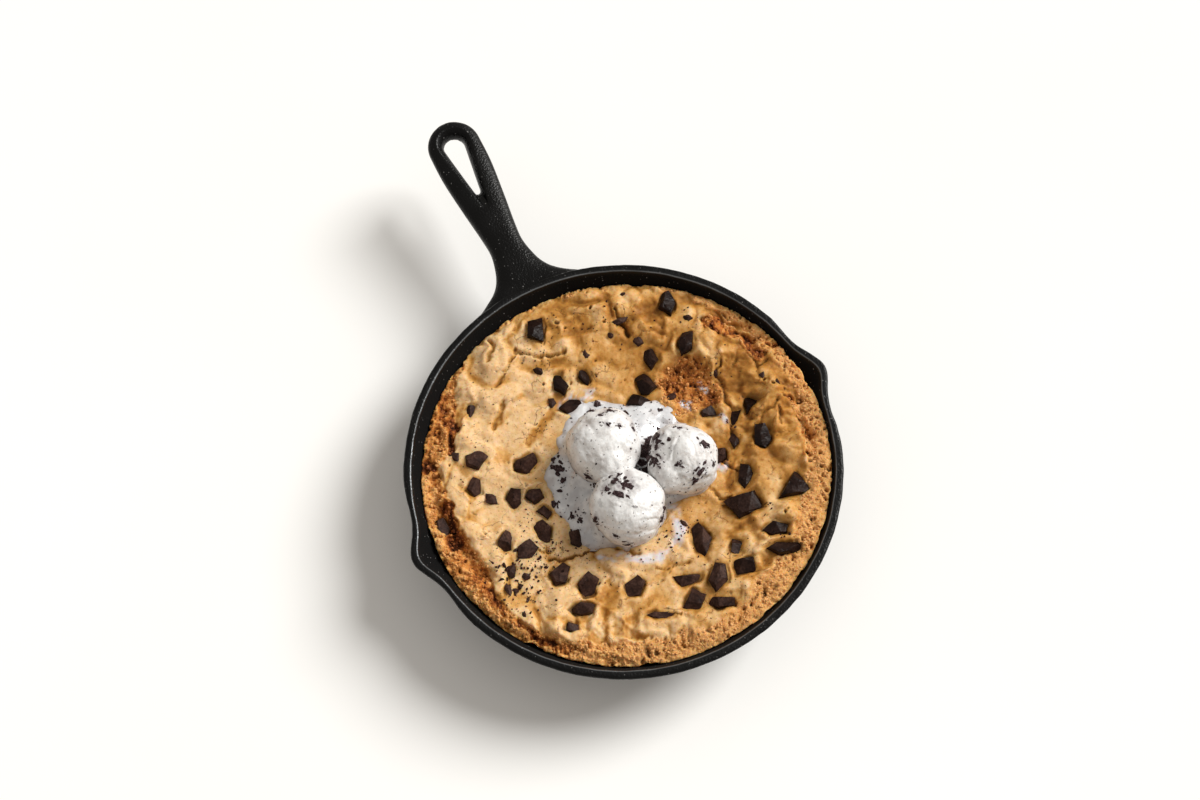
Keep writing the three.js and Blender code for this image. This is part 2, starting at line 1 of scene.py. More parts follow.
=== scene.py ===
"""The looks of a skillet cookie: a chocolate chunk cookie baked in its cast iron skillet,
with three scoops of cookies-and-cream ice cream that melt into a pool.

The sizes in the classes are millimetres. The food is laid out in axes of its own, u and v,
which are turned FOOD_TURN about Z from the skillet's, as in the solid model.
"""

import logging
import math
from dataclasses import dataclass
from enum import Enum
from typing import Callable

import bmesh
import bpy
import numpy as np
from mathutils import Matrix, Vector
from numpy.typing import NDArray


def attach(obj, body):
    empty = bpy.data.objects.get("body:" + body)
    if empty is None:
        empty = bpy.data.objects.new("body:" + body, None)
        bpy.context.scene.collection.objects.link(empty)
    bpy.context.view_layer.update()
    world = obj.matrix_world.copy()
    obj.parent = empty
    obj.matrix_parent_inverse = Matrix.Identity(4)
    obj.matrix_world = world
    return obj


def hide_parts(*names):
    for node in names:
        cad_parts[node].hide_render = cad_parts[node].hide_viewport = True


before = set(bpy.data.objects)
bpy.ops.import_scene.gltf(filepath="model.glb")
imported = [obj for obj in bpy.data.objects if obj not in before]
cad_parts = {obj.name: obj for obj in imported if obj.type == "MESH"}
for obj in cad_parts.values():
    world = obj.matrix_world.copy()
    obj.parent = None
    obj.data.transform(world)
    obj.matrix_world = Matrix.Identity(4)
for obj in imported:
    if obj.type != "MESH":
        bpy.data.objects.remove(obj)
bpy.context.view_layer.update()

Numbers = NDArray[np.float64]
Whole = NDArray[np.int64]
Pair = tuple[float, float]
Rows = tuple[tuple[float, ...], ...]
Lines = tuple[tuple, ...]  # each of numbers, and the points of u and v of a line
Mesh = bpy.types.Mesh
Object = bpy.types.Object
Socket = bpy.types.NodeSocket

log = logging.getLogger("skillet_cookie")

MM = 0.001  # metres
BODY = "root"
FOOD_TURN = math.radians(-26.7)
TURN = 2 * np.pi


class Slot(Enum):
    """Names of the material slots."""

    IRON = "cast_iron"
    COOKIE = "baked_cookie"
    CHOCOLATE = "dark_chocolate"
    ICE_CREAM = "ice_cream"
    MELT = "melted_cream"


# ---- Numbers ----


def smooth(value: Numbers, low: float, high: float) -> Numbers:
    """Rises smoothly from 0 at `low` to 1 at `high`, as 3t squared less 2t cubed."""
    part = np.clip((value - low) / (high - low), 0.0, 1.0)
    return part * part * (3.0 - 2.0 * part)


def fade(value: Numbers, low: float, high: float) -> Numbers:
    """Falls smoothly from 1 at `low` to 0 at `high`."""
    return 1.0 - smooth(value, low, high)


def bell(distance: Numbers, width: float) -> Numbers:
    """A bell curve, 1 at the middle: e to the power of less (distance / width) squared."""
    return np.exp(-((distance / width) ** 2))


def unit(vectors: Numbers) -> Numbers:
    """The vectors at a length of 1."""
    return vectors / np.linalg.norm(vectors, axis=-1, keepdims=True)


def around(count: int) -> Numbers:
    """Even angles round a circle, in radians."""
    return np.linspace(0.0, TURN, count, endpoint=False)


def polar(reach: Numbers | float, angle: Numbers) -> tuple[Numbers, Numbers]:
    """The two coordinates of points at a distance and an angle."""
    return reach * np.cos(angle), reach * np.sin(angle)


def dome(u: Numbers, v: Numbers, middle_u: float, middle_v: float, width: float) -> Numbers:
    """A round bell, 1 at its middle."""
    return bell(np.hypot(u - middle_u, v - middle_v), width)


def draw(cells: Numbers, seed: int) -> Numbers:
    """A repeatable number from 0 to 1 for each cell of a grid.

    The whole numbers of the cell are multiplied by large odd numbers, summed and mixed.

    Args:
        cells: whole numbers, with x, y and z along the last axis.
        seed: which of the many fields of numbers to draw from.

    Returns:
        One number for each cell.
    """
    x, y, z = np.moveaxis(cells.astype(np.int64), -1, 0)
    mixed = (x * 374761393 + y * 668265263 + z * 1103515245 + seed * 1274126177) & 0xFFFFFFFF
    mixed = ((mixed ^ (mixed >> 13)) * 1274126177) & 0xFFFFFFFF
    return ((mixed ^ (mixed >> 16)) & 0xFFFFFF) / float(0xFFFFFF)


def noise(points: Numbers, size: float, seed: int) -> Numbers:
    """Smooth noise from -1 to 1.

    Each corner of a cubic grid has a drawn number, and a point takes the eight corners
    round it, each by the product of its shares along x, y and z.

    Args:
        points: places, with x, y and z along the last axis.
        size: the width of a cell of the grid, in the points' unit.
        seed: which field to take.

    Returns:
        One value for each point.
    """
    spot = points / size
    low = np.floor(spot)
    part = spot - low
    share = part**3 * (part * (part * 6.0 - 15.0) + 10.0)
    total = np.zeros(points.shape[:-1])
    for corner in np.ndindex(2, 2, 2):
        weight = np.prod(np.where(corner, share, 1.0 - share), axis=-1)
        total += weight * draw(low + corner, seed)
    return 2.0 * total - 1.0


def rough(points: Numbers, size: float, seed: int, octaves: int = 3) -> Numbers:
    """Noise summed over octaves, each half as wide and half as strong as the last."""
    return sum(noise(points, size / 2**k, seed + 17 * k) / 2**k for k in range(octaves))


def grains(points: Numbers, size: float, seed: int) -> tuple[Numbers, Numbers]:
    """Distance to the nearest of scattered spots, one in each square cell.

    Args:
        points: places, of which x and y are used.
        size: the width of a cell, in the points' unit.
        seed: which spots to take.

    Returns:
        The distance, and a number drawn for the nearest spot.
    """
    spot = points / size
    spot[..., 2] = 0.0
    cell = np.floor(spot)
    nearest = np.full(points.shape[:-1], 9.0)
    drawn = np.zeros(points.shape[:-1])
    for step in np.ndindex(3, 3):
        near = cell + (step[0] - 1, step[1] - 1, 0)
        x, y = near[..., 0] + draw(near, seed), near[..., 1] + draw(near, seed + 1)
        distance = np.hypot(spot[..., 0] - x, spot[..., 1] - y)
        closer = distance < nearest
        nearest = np.where(closer, distance, nearest)
        drawn = np.where(closer, draw(near, seed + 2), drawn)
    return nearest * size, drawn


def line_distance(u: Numbers, v: Numbers, line: tuple[Pair, ...]) -> Numbers:
    """Distance from each point to a line of straight stretches.

    Args:
        u: first coordinates of the points.
        v: second coordinates of the points.
        line: the corners of the line.

    Returns:
        The least distance to any stretch, each measured to its nearest point.
    """
    best = np.full(u.shape, 1e3)
    for (u0, v0), (u1, v1) in zip(line, line[1:]):
        du, dv = u1 - u0, v1 - v0
        along = np.clip(((u - u0) * du + (v - v0) * dv) / (du * du + dv * dv), 0.0, 1.0)
        best = np.minimum(best, np.hypot(u - u0 - along * du, v - v0 - along * dv))
    return best


def flat(u: Numbers, v: Numbers) -> Numbers:
    """Points of the plane z = 0."""
    return np.stack([u, v, np.zeros_like(u)], axis=-1)


def to_part(points: Numbers, angle: float = FOOD_TURN) -> Numbers:
    """Turns points about Z, from the food's axes to the skillet's."""
    cos, sin = math.cos(angle), math.sin(angle)
    u, v, z = np.moveaxis(points, -1, 0)
    return np.stack([cos * u - sin * v, sin * u + cos * v, z], axis=-1)


def to_food(points: Numbers) -> Numbers:
    """Turns points about Z from the skillet's axes to the food's."""
    return to_part(points, -FOOD_TURN)


# ---- Meshes ----


def quads(rows: int, columns: int, closed: bool = True) -> Whole:
    """Corners of the quads of a grid of points stored row by row.

    Args:
        rows: number of rows.
        columns: number of points in a row.
        closed: whether the last column joins the first.

    Returns:
        Four corners for each quad, counter-clockwise where rows go up and columns go right.
    """
    across = columns if closed else columns - 1
    row, column = np.meshgrid(np.arange(rows - 1), np.arange(across), indexing="ij")
    after = (column + 1) % columns
    corners = [row * columns + column, row * columns + after]
    corners += [(row + 1) * columns + after, (row + 1) * columns + column]
    return np.stack(corners, axis=-1).reshape(-1, 4)


def make_mesh(name: str, points: Numbers, faces: list[Whole]) -> Mesh:
    """A smooth-shaded mesh.

    Args:
        name: the mesh's name.
        points: its points in millimetres, in the skillet's axes.
        faces: arrays of faces, each of triangles or of quads.

    Returns:
        The mesh, in metres.
    """
    mesh = bpy.data.meshes.new(name)
    points = points.reshape(-1, 3) * MM
    mesh.vertices.add(len(points))
    mesh.vertices.foreach_set("co", points.astype(np.float32).ravel())
    corners = np.concatenate([group.ravel() for group in faces])
    sizes = np.concatenate([np.full(len(group), group.shape[1]) for group in faces])
    mesh.loops.add(len(corners))
    mesh.loops.foreach_set("vertex_index", corners.astype(np.int32))
    mesh.polygons.add(len(sizes))
    mesh.polygons.foreach_set("loop_start", (np.cumsum(sizes) - sizes).astype(np.int32))
    mesh.update(calc_edges=True)
    mesh.shade_smooth()
    return mesh


def read_points(mesh: Mesh) -> Numbers:
    """A mesh's points in millimetres."""
    points = np.zeros(3 * len(mesh.vertices), np.float32)
    mesh.vertices.foreach_get("co", points)
    return points.reshape(-1, 3).astype(float) / MM


def write_points(mesh: Mesh, points: Numbers) -> None:
    """Puts changed points, in millimetres, into a mesh."""
    mesh.vertices.foreach_set("co", (points * MM).astype(np.float32).ravel())
    mesh.update()


def paint(mesh: Mesh, **fields: Numbers) -> None:
    """Keeps one number for each point of the mesh under each name."""
    for name, values in fields.items():
        attribute = mesh.attributes.new(name, "FLOAT", "POINT")
        attribute.data.foreach_set("value", values.astype(np.float32).ravel())


def close_poles(mesh: Mesh) -> None:
    """Merges points that coincide, as at a pole, and faces the mesh outwards."""
    work = bmesh.new()
    work.from_mesh(mesh)
    bmesh.ops.remove_doubles(work, verts=work.verts, dist=1e-3 * MM)
    bmesh.ops.recalc_face_normals(work, faces=work.faces)
    work.to_mesh(mesh)
    work.free()


def closed_tube(name: str, rings: Numbers) -> Mesh:
    """A closed mesh through rings of points, each end drawn in to its middle."""
    ends = [np.tile(rings[end].mean(axis=0), (1, rings.shape[1], 1)) for end in (0, -1)]
    rings = np.concatenate([ends[0], rings, ends[1]])
    mesh = make_mesh(name, rings, [quads(*rings.shape[:2])])
    close_poles(mesh)
    return mesh


def show(name: str, data: bpy.types.ID) -> Object:
    """Puts a mesh, light or camera into the scene as an object."""
    made = bpy.data.objects.new(name, data)
    bpy.context.scene.collection.objects.link(made)
    return made


def add_piece(name: str, mesh: Mesh, finish: "Finish", slot: Slot, *replaced: str) -> None:
    """Puts a finished mesh into the scene, riding on the part's one body.

    Args:
        name: the piece's name.
        mesh: its mesh, in place.
        finish: its finish.
        slot: not used.
        *replaced: the solid nodes that the piece stands for.
    """
    piece = show(name, mesh)
    mesh.materials.clear()
    mesh.materials.append(finish.material())
    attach(piece, BODY)
    if replaced:
        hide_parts(*replaced)
    faces = sum(len(polygon.vertices) - 2 for polygon in mesh.polygons)
    log.info("%s: %d triangles", name, faces)


def random_turns(count: int, source: np.random.Generator) -> Numbers:
    """Random rotations, each from a unit quaternion, as 3 by 3 matrices."""
    w, x, y, z = np.moveaxis(source.normal(size=(count, 4)), -1, 0)
    scale = 2.0 / (w * w + x * x + y * y + z * z)
    rows = [1 - scale * (y * y + z * z), scale * (x * y - z * w), scale * (x * z + y * w)]
    rows += [scale * (x * y + z * w), 1 - scale * (x * x + z * z), scale * (y * z - x * w)]
    rows += [scale * (x * z - y * w), scale * (y * z + x * w), 1 - scale * (x * x + y * y)]
    return np.stack(rows, axis=-1).reshape(count, 3, 3)


def upright_turns(normals: Numbers, spin: Numbers) -> Numbers:
    """Rotations that lay flakes on a surface.

    Args:
        normals: the surface's directions, which become the flakes' z axes.
        spin: how far each flake is turned about that axis.

    Returns:
        Matrices whose columns are two axes in the surface and its normal.
    """
    normals = unit(normals)
    helper = np.where(np.abs(normals[:, 2:]) < 0.9, (0.0, 0.0, 1.0), (1.0, 0.0, 0.0))
    first = unit(np.cross(helper, normals))
    second = np.cross(normals, first)
    cos, sin = np.cos(spin)[:, None], np.sin(spin)[:, None]
    return np.stack([first * cos + second * sin, second * cos - first * sin, normals], axis=-1)


def scatter(name: str, places: Numbers, sizes: Numbers, turns: Numbers, seed: int,
            uneven: float = 0.35) -> Mesh:
    """Many small jagged pieces joined into one mesh.

    Each is a ball of 20 triangles whose points are moved in or out by a drawn share,
    stretched, turned and put in its place: place + turn x (size x point x share).

    Args:
        name: the mesh's name.
        places: the middles, in the food's axes.
        sizes: the half sizes along each piece's own axes.
        turns: one rotation for each piece.
        seed: for the drawn shares.
        uneven: how far a point may be moved, as a share of its radius.

    Returns:
        The joined mesh.
    """
    work = bmesh.new()
    bmesh.ops.create_icosphere(work, subdivisions=1, radius=1.0)
    ball = np.array([vert.co[:] for vert in work.verts])
    faces = np.array([[vert.index for vert in face.verts] for face in work.faces])
    work.free()
    source = np.random.default_rng(seed)
    share = 1.0 + uneven * source.uniform(-1.0, 1.0, (len(places), len(ball), 1))
    points = np.einsum("nij,nkj->nki", turns, ball * share * sizes[:, None, :])
    joined = faces[None] + len(ball) * np.arange(len(places))[:, None, None]
    mesh = make_mesh(name, to_part(points + places[:, None, :]), [joined.reshape(-1, 3)])
    mesh.shade_flat()
    return mesh


# ---- Finishes ----


def linear(code: str) -> tuple[float, float, float, float]:
    """A hex colour of the screen, turned to linear light with the sRGB curve."""
    parts = [int(code[i:i + 2], 16) / 255.0 for i in (1, 3, 5)]
    curve = [c / 12.92 if c <= 0.04045 else ((c + 0.055) / 1.055) ** 2.4 for c in parts]
    return (*curve, 1.0)


class Nodes:
    """The nodes of one material. Sizes in millimetres are those of the real pattern."""

    def __init__(self, material: bpy.types.Material) -> None:
        """Takes the material's tree, its Principled shader and its Object coordinates."""
        material.use_nodes = True
        self.tree = material.node_tree
        self.shader = self.tree.nodes["Principled BSDF"]
        self.place = self.add("TexCoord").outputs["Object"]

    def fill(self, node: bpy.types.Node, **links: object) -> None:
        """Links a node's inputs to sockets, or sets them to values.

        Args:
            node: the node.
            **links: sockets or values by the input's name, with _ for a space, or by its
                number as i1.
        """
        for key, value in links.items():
            number = key[1:] if key[0] == "i" else ""
            socket = node.inputs[int(number) if number.isdigit() else key.replace("_", " ")]
            if isinstance(value, Socket):
                self.tree.links.new(value, socket)
            else:
                socket.default_value = value

    def add(self, kind: str, settings: dict | None = None, **links: object) -> bpy.types.Node:
        """Adds a node with its settings and its inputs.

        Args:
            kind: the node's type, without its ShaderNode prefix.
            settings: the node's own properties.
            **links: its inputs, as in `fill`.

        Returns:
            The node.
        """
        made = self.tree.nodes.new("ShaderNode" + kind)
        for key, value in (settings or {}).items():
            setattr(made, key, value)
        self.fill(made, **links)
        return made

    def shade(self, **links: object) -> None:
        """Sets or links the shader's own inputs."""
        self.fill(self.shader, **links)

    def soak(self, weight: float, *reach: float) -> None:
        """Lets light into the surface, with its reach in metres for red, green and blue."""
        self.shade(Subsurface_Weight=weight, Subsurface_Radius=reach, Subsurface_Scale=1.0)

    def ramp(self, value: Socket, stops: dict[float, str]) -> Socket:
        """Turns a number to a colour.

        Args:
            value: the number, from 0 to 1.
            stops: hex colours by the number at which each stands.

        Returns:
            The colour.
        """
        made = self.add("ValToRGB", i0=value)
        band = made.color_ramp
        for index, (spot, code) in enumerate(stops.items()):
            stop = band.elements[index] if index < 2 else band.elements.new(spot)
            stop.position, stop.color = spot, linear(code)
        return made.outputs[0]

    def mix(self, body: Socket, other: Socket | str, share: Socket,
            strength: float | None = None) -> Socket:
        """The colour that lies share x strength of the way from one colour to another.

        Args:
            body: the first colour.
            other: the second, as a socket or a hex colour.
            share: from 0 to 1.
            strength: 1 where left out.

        Returns:
            The colour.
        """
        share = share if strength is None else self.sum(share, strength, 0.0)
        other = linear(other) if isinstance(other, str) else other
        return self.add("Mix", {"data_type": "RGBA"}, i0=share, i6=body, i7=other).outputs[2]

    def sum(self, value: Socket, factor: Socket | float, extra: Socket | float) -> Socket:
        """value x factor + extra, clamped to 0 and 1."""
        settings = {"operation": "MULTIPLY_ADD", "use_clamp": True}
        return self.add("Math", settings, i0=value, i1=factor, i2=extra).outputs[0]

    def number(self, name: str) -> Socket:
        """A number that was painted on the mesh."""
        return self.add("Attribute", {"attribute_name": name}).outputs["Fac"]

    def clouds(self, size: float, detail: float = 3.0, output: str = "Fac") -> Socket:
        """Noise whose features are about `size` millimetres wide."""
        made = self.add("TexNoise", Vector=self.place, Scale=1.0 / (size * MM), Detail=detail)
        return made.outputs[output]

    def cells(self, size: float, feature: str = "F1", place: Socket | None = None) -> bpy.types.Node:
        """Cells about `size` millimetres wide."""
        return self.add("TexVoronoi", {"feature": feature}, Vector=place or self.place,
                        Scale=1.0 / (size * MM))

    def span(self, value: Socket, low: float, high: float) -> Socket:
        """A number stretched so that `low` becomes 0 and `high` becomes 1."""
        return self.add("MapRange", i0=value, i1=low, i2=high, i3=0.0, i4=1.0).outputs[0]

    def both(self, first: Socket, second: Socket) -> Socket:
        """The product of two numbers."""
        return self.add("Math", {"operation": "MULTIPLY"}, i0=first, i1=second).outputs[0]

    def dots(self, pitch: float, radius: float, share: float) -> Socket:
        """Soft-edged dots, 1 inside, at most one to a cell.

        Args:
            pitch: the width of a cell in millimetres.
            radius: the dots' radius in millimetres.
            share: the share of the cells that have one.

        Returns:
            1 in a dot and 0 outside.
        """
        cells = self.cells(pitch)
        edge = radius / pitch
        inside = self.span(cells.outputs["Distance"], edge, edge * 0.6)
        drawn = self.add("SeparateColor", i0=cells.outputs["Color"]).outputs[0]
        chosen = self.add("Math", {"operation": "LESS_THAN"}, i0=drawn, i1=share).outputs[0]
        return self.both(inside, chosen)

    def flecks(self, size: float, least: float) -> Socket:
        """Ragged flecks where noise is above `least`: 1 in a fleck and 0 outside."""
        return self.span(self.clouds(size, 4.0), least, least + 0.04)

    def dust(self, body: Socket, code: str, sizes: Rows) -> Socket:
        """Flecks of a colour over a body, from rows of size, least and strength."""
        for size, least, strength in sizes:
            body = self.mix(body, code, self.flecks(size, least), strength)
        return body

    def bump(self, height: Socket, depth: float) -> None:
        """Raises the surface by `depth` millimetres where the height is 1."""
        made = self.add("Bump", Height=height, Distance=depth * MM, Strength=1.0)
        self.shade(Normal=made.outputs[0])


@dataclass(frozen=True)
class Finish:
    """A finish that is one Principled shader. Subclasses fill in `dress`."""

    title: str

    def material(self) -> bpy.types.Material:
        """The finish's material, made once."""
        made = bpy.data.materials.get(self.title)
        if made is None:
            made = bpy.data.materials.new(self.title)
            self.dress(Nodes(made))
        return made

    def dress(self, nodes: Nodes) -> None:
        """Adds the finish's pattern. The base finish has none."""


@dataclass(frozen=True)
class SeasonedIron(Finish):
    """Sand-cast iron under baked-on oil: black, satin, with the sand's pebbled grain.

    The rim's inner edge is rubbed to bare grey metal, which glints as a thin line. The inner
    wall is duller, where butter has burnt on.
    """

    title: str = "seasoned_cast_iron"
    grain: float = 1.0  # mm, the sand's mark, drawn a little coarse so that it shows
    grain_depth: float = 0.24

    def dress(self, nodes: Nodes) -> None:
        """Pebbled grain, uneven oil, pale dust and the rubbed rim."""
        oil = nodes.clouds(14.0)
        grit = nodes.clouds(self.grain * 0.8, 2.0)
        body = nodes.ramp(nodes.sum(grit, 0.7, nodes.sum(oil, 0.6, -0.15)),
                          {0.25: "#010101", 0.6: "#040404", 0.9: "#100f10"})
        for pitch, radius, share in ((3.6, 0.45, 0.24), (1.9, 0.3, 0.26)):
            body = nodes.mix(body, "#807e7d", nodes.dots(pitch, radius, share), 0.75)
        rubbed = nodes.number("rubbed")
        satin = nodes.sum(nodes.number("burnt"), 0.6, nodes.sum(oil, 0.3, 0.2))
        nodes.shade(Base_Color=nodes.mix(body, "#8c8f92", rubbed), Roughness=satin,
                    Metallic=nodes.sum(rubbed, 0.85, 0.0), Specular_IOR_Level=0.2)
        pebbles = nodes.cells(self.grain, "SMOOTH_F1").outputs["Distance"]
        nodes.bump(nodes.sum(grit, 0.6, pebbles), self.grain_depth)


@dataclass(frozen=True)
class BakedDough(Finish):
    """Butter cookie dough baked in the pan: a smooth dull skin, cream to golden brown,
    and open, toasted crumb where the skin has split or meets the hot iron.

    The mesh carries tone (how far it is browned, plus painted shade in hollows, creases and on
    steep slopes and a painted highlight on puffs and ridges), crumb, dark (scorched or stained,
    plus painted shade in holes, pits, crumb hollows and the moats round the chunks) and
    milk (a thin film of melted cream).
    """

    title: str = "baked_cookie_dough"
    crumb_only: bool = False

    def dress(self, nodes: Nodes) -> None:
        """Skin and crumb colours, pores, film and the fine grain of both."""
        tone = nodes.number("tone")
        grit = nodes.clouds(0.9, 2.0)
        toasted = nodes.sum(grit, 0.5, nodes.sum(tone, 0.8, -0.2))
        crumb = nodes.ramp(toasted, {
            0.05: "#e9bd87", 0.3: "#d99d5a", 0.55: "#b97233", 0.78: "#84431a", 1.0: "#4a240e"})
        if self.crumb_only:
            nodes.shade(Base_Color=crumb, Roughness=0.8)
            return
        fine = nodes.clouds(2.6, 4.0)
        mottled = nodes.sum(fine, 0.34, nodes.sum(tone, 1.0, -0.17))
        skin = nodes.ramp(mottled, {
            0.0: "#e8cdac", 0.18: "#dfb986", 0.36: "#d2a160", 0.52: "#b9823c", 0.72: "#8d5a22",
            1.0: "#532b0f"})
        torn = nodes.number("crumb")
        milk = nodes.number("milk")
        hairline = self.hairlines(nodes)
        skin = nodes.mix(skin, "#9a5c30", nodes.flecks(1.6, 0.60), 0.4)
        skin = nodes.mix(skin, "#6b3a18", nodes.dots(7.0, 0.45, 0.3), 0.7)
        skin = nodes.mix(skin, "#6a3a18", hairline, 0.45)
        body = nodes.mix(nodes.mix(skin, crumb, torn), "#35190b", nodes.number("dark"))
        dull = nodes.sum(torn, 0.35, nodes.sum(fine, 0.2, 0.42))
        nodes.shade(Base_Color=nodes.mix(body, "#dcd9de", milk), Specular_IOR_Level=0.15,
                    Roughness=nodes.sum(milk, -0.45, dull))
        nodes.soak(0.4, 0.005, 0.0017, 0.0006)
        grained = nodes.sum(grit, nodes.sum(torn, 0.5, 0.2), nodes.sum(fine, 0.45, 0.0))
        nodes.bump(nodes.sum(hairline, -0.5, grained), 0.6)

    @staticmethod
    def hairlines(nodes: Nodes) -> Socket:
        """Fine cracks of a drying skin: stretches of a wandering net of lines, 1 on a line."""
        bent = nodes.add("VectorMath", {"operation": "MULTIPLY_ADD"}, i1=(8.0 * MM,) * 3,
                         i0=nodes.clouds(6.0, output="Color"), i2=nodes.place)
        net = nodes.cells(17.0, "DISTANCE_TO_EDGE", bent.outputs[0])
        line = nodes.span(net.outputs["Distance"], 0.024, 0.006)
        return nodes.both(line, nodes.flecks(14.0, 0.56))


@dataclass(frozen=True)
class DarkChocolate(Finish):
    """Chopped dark chocolate: plum brown, satin and patchy, and wetter where it has melted.

    The mesh may carry a number that is 1 where the chocolate is black and glossy: where it
    has melted at the top, and as painted shade on the chunks towards +u.
    """

    title: str = "chopped_dark_chocolate"

    def dress(self, nodes: Nodes) -> None:
        """Uneven cocoa brown, darker and glossier where melted and where shade is painted, and a
        chipped grain.
        """
        patchy = nodes.clouds(6.0)
        chipped = nodes.clouds(1.3, 4.0)
        molten = nodes.number("molten")
        body = nodes.ramp(nodes.sum(chipped, 0.5, nodes.sum(patchy, 0.5, 0.0)),
                          {0.3: "#170e0c", 0.5: "#38251f", 0.8: "#5f463c"})
        dull = nodes.sum(patchy, 0.3, 0.34)
        # Darker where the chocolate has melted, and as painted shade on the chunks towards +u
        nodes.shade(Base_Color=nodes.mix(body, "#0d0605", molten), Specular_IOR_Level=0.09,
                    Roughness=nodes.sum(molten, -0.26, dull))
        nodes.bump(nodes.sum(patchy, 0.5, chipped), 0.32)


@dataclass(frozen=True)
class CookieBits(Finish):
    """Bits of black cocoa cookie in the ice cream, soaked and nearly black."""

    title: str = "cocoa_cookie_bits"

    def dress(self, nodes: Nodes) -> None:
        """Dark crumb, lighter where cream has soaked in."""
        grit = nodes.clouds(0.8, 3.0)
        body = nodes.ramp(grit, {0.35: "#190d0e", 0.55: "#362224", 0.8: "#7d6a6c"})
        nodes.shade(Base_Color=body, Roughness=0.5, Specular_IOR_Level=0.2)
        nodes.bump(grit, 0.3)


@dataclass(frozen=True)
class FrozenCream(Finish):
    """Churned ice cream, soft at the surface: white, slightly see-through, with fine ice
    grain and the dust of crushed cookie.

    The mesh carries stain (cream browned by the cookie, plus painted shade on each scoop's
    low side away from the light) and smear (by a large dark bit).
    """

    title: str = "cookies_and_cream_ice_cream"

    def dress(self, nodes: Nodes) -> None:
        """White cream with grey-brown specks and a fine icy grain."""
        ice = nodes.clouds(1.6, 4.0)
        body = nodes.ramp(nodes.sum(ice, 0.4, nodes.sum(nodes.clouds(9.0), 0.6, 0.0)),
                          {0.35: "#cfcbc8", 0.5: "#e6e5e4", 0.65: "#efefee"})
        # stain colour: cream browned by the cookie, and painted shade on each scoop's low side away
        # from the light
        body = nodes.mix(body, "#6c574d", nodes.number("stain"))
        body = nodes.mix(body, "#776c72", nodes.number("smear"))
        body = nodes.dust(body, "#382a2c", ((1.4, 0.68, 0.8), (3.4, 0.67, 0.7), (9.0, 0.65, 0.3)))
        nodes.shade(Base_Color=body, Roughness=nodes.sum(ice, 0.3, 0.22))
        nodes.soak(0.15, 0.003, 0.0027, 0.0025)
        nodes.bump(ice, 0.28)


@dataclass(frozen=True)
class MeltedCream(Finish):
    """Melted ice cream: bluish white, wet, with cookie dust afloat.

    The mesh carries thin, which is 1 where the cookie shows through.
    """

    title: str = "melted_ice_cream"

    def dress(self, nodes: Nodes) -> None:
        """Thin cream over the cookie, browner where it is thin, with specks."""
        body = nodes.ramp(nodes.clouds(7.0), {0.35: "#c0c1c5", 0.65: "#e3e4e6"})
        body = nodes.mix(body, "#a8978f", nodes.number("thin"))
        body = nodes.dust(body, "#352a2c",
                          ((1.6, 0.67, 0.85), (4.5, 0.66, 0.75), (10.0, 0.66, 0.35)))
        nodes.shade(Base_Color=body, Roughness=0.16, Coat_Weight=0.4, Coat_Roughness=0.08)
        nodes.soak(0.15, 0.003, 0.0025, 0.0025)
        nodes.bump(nodes.clouds(2.5), 0.2)


@dataclass(frozen=True)
class PaleGround(Finish):
    """Matt white studio board."""

    title: str = "studio_board"

    def dress(self, nodes: Nodes) -> None:
        """Plain white with the faintest unevenness."""
        body = nodes.ramp(nodes.clouds(400.0), {0.3: "#f6f6f5", 0.7: "#fbfbfa"})
        nodes.shade(Base_Color=body, Roughness=0.9)


# ---- Skillet ----


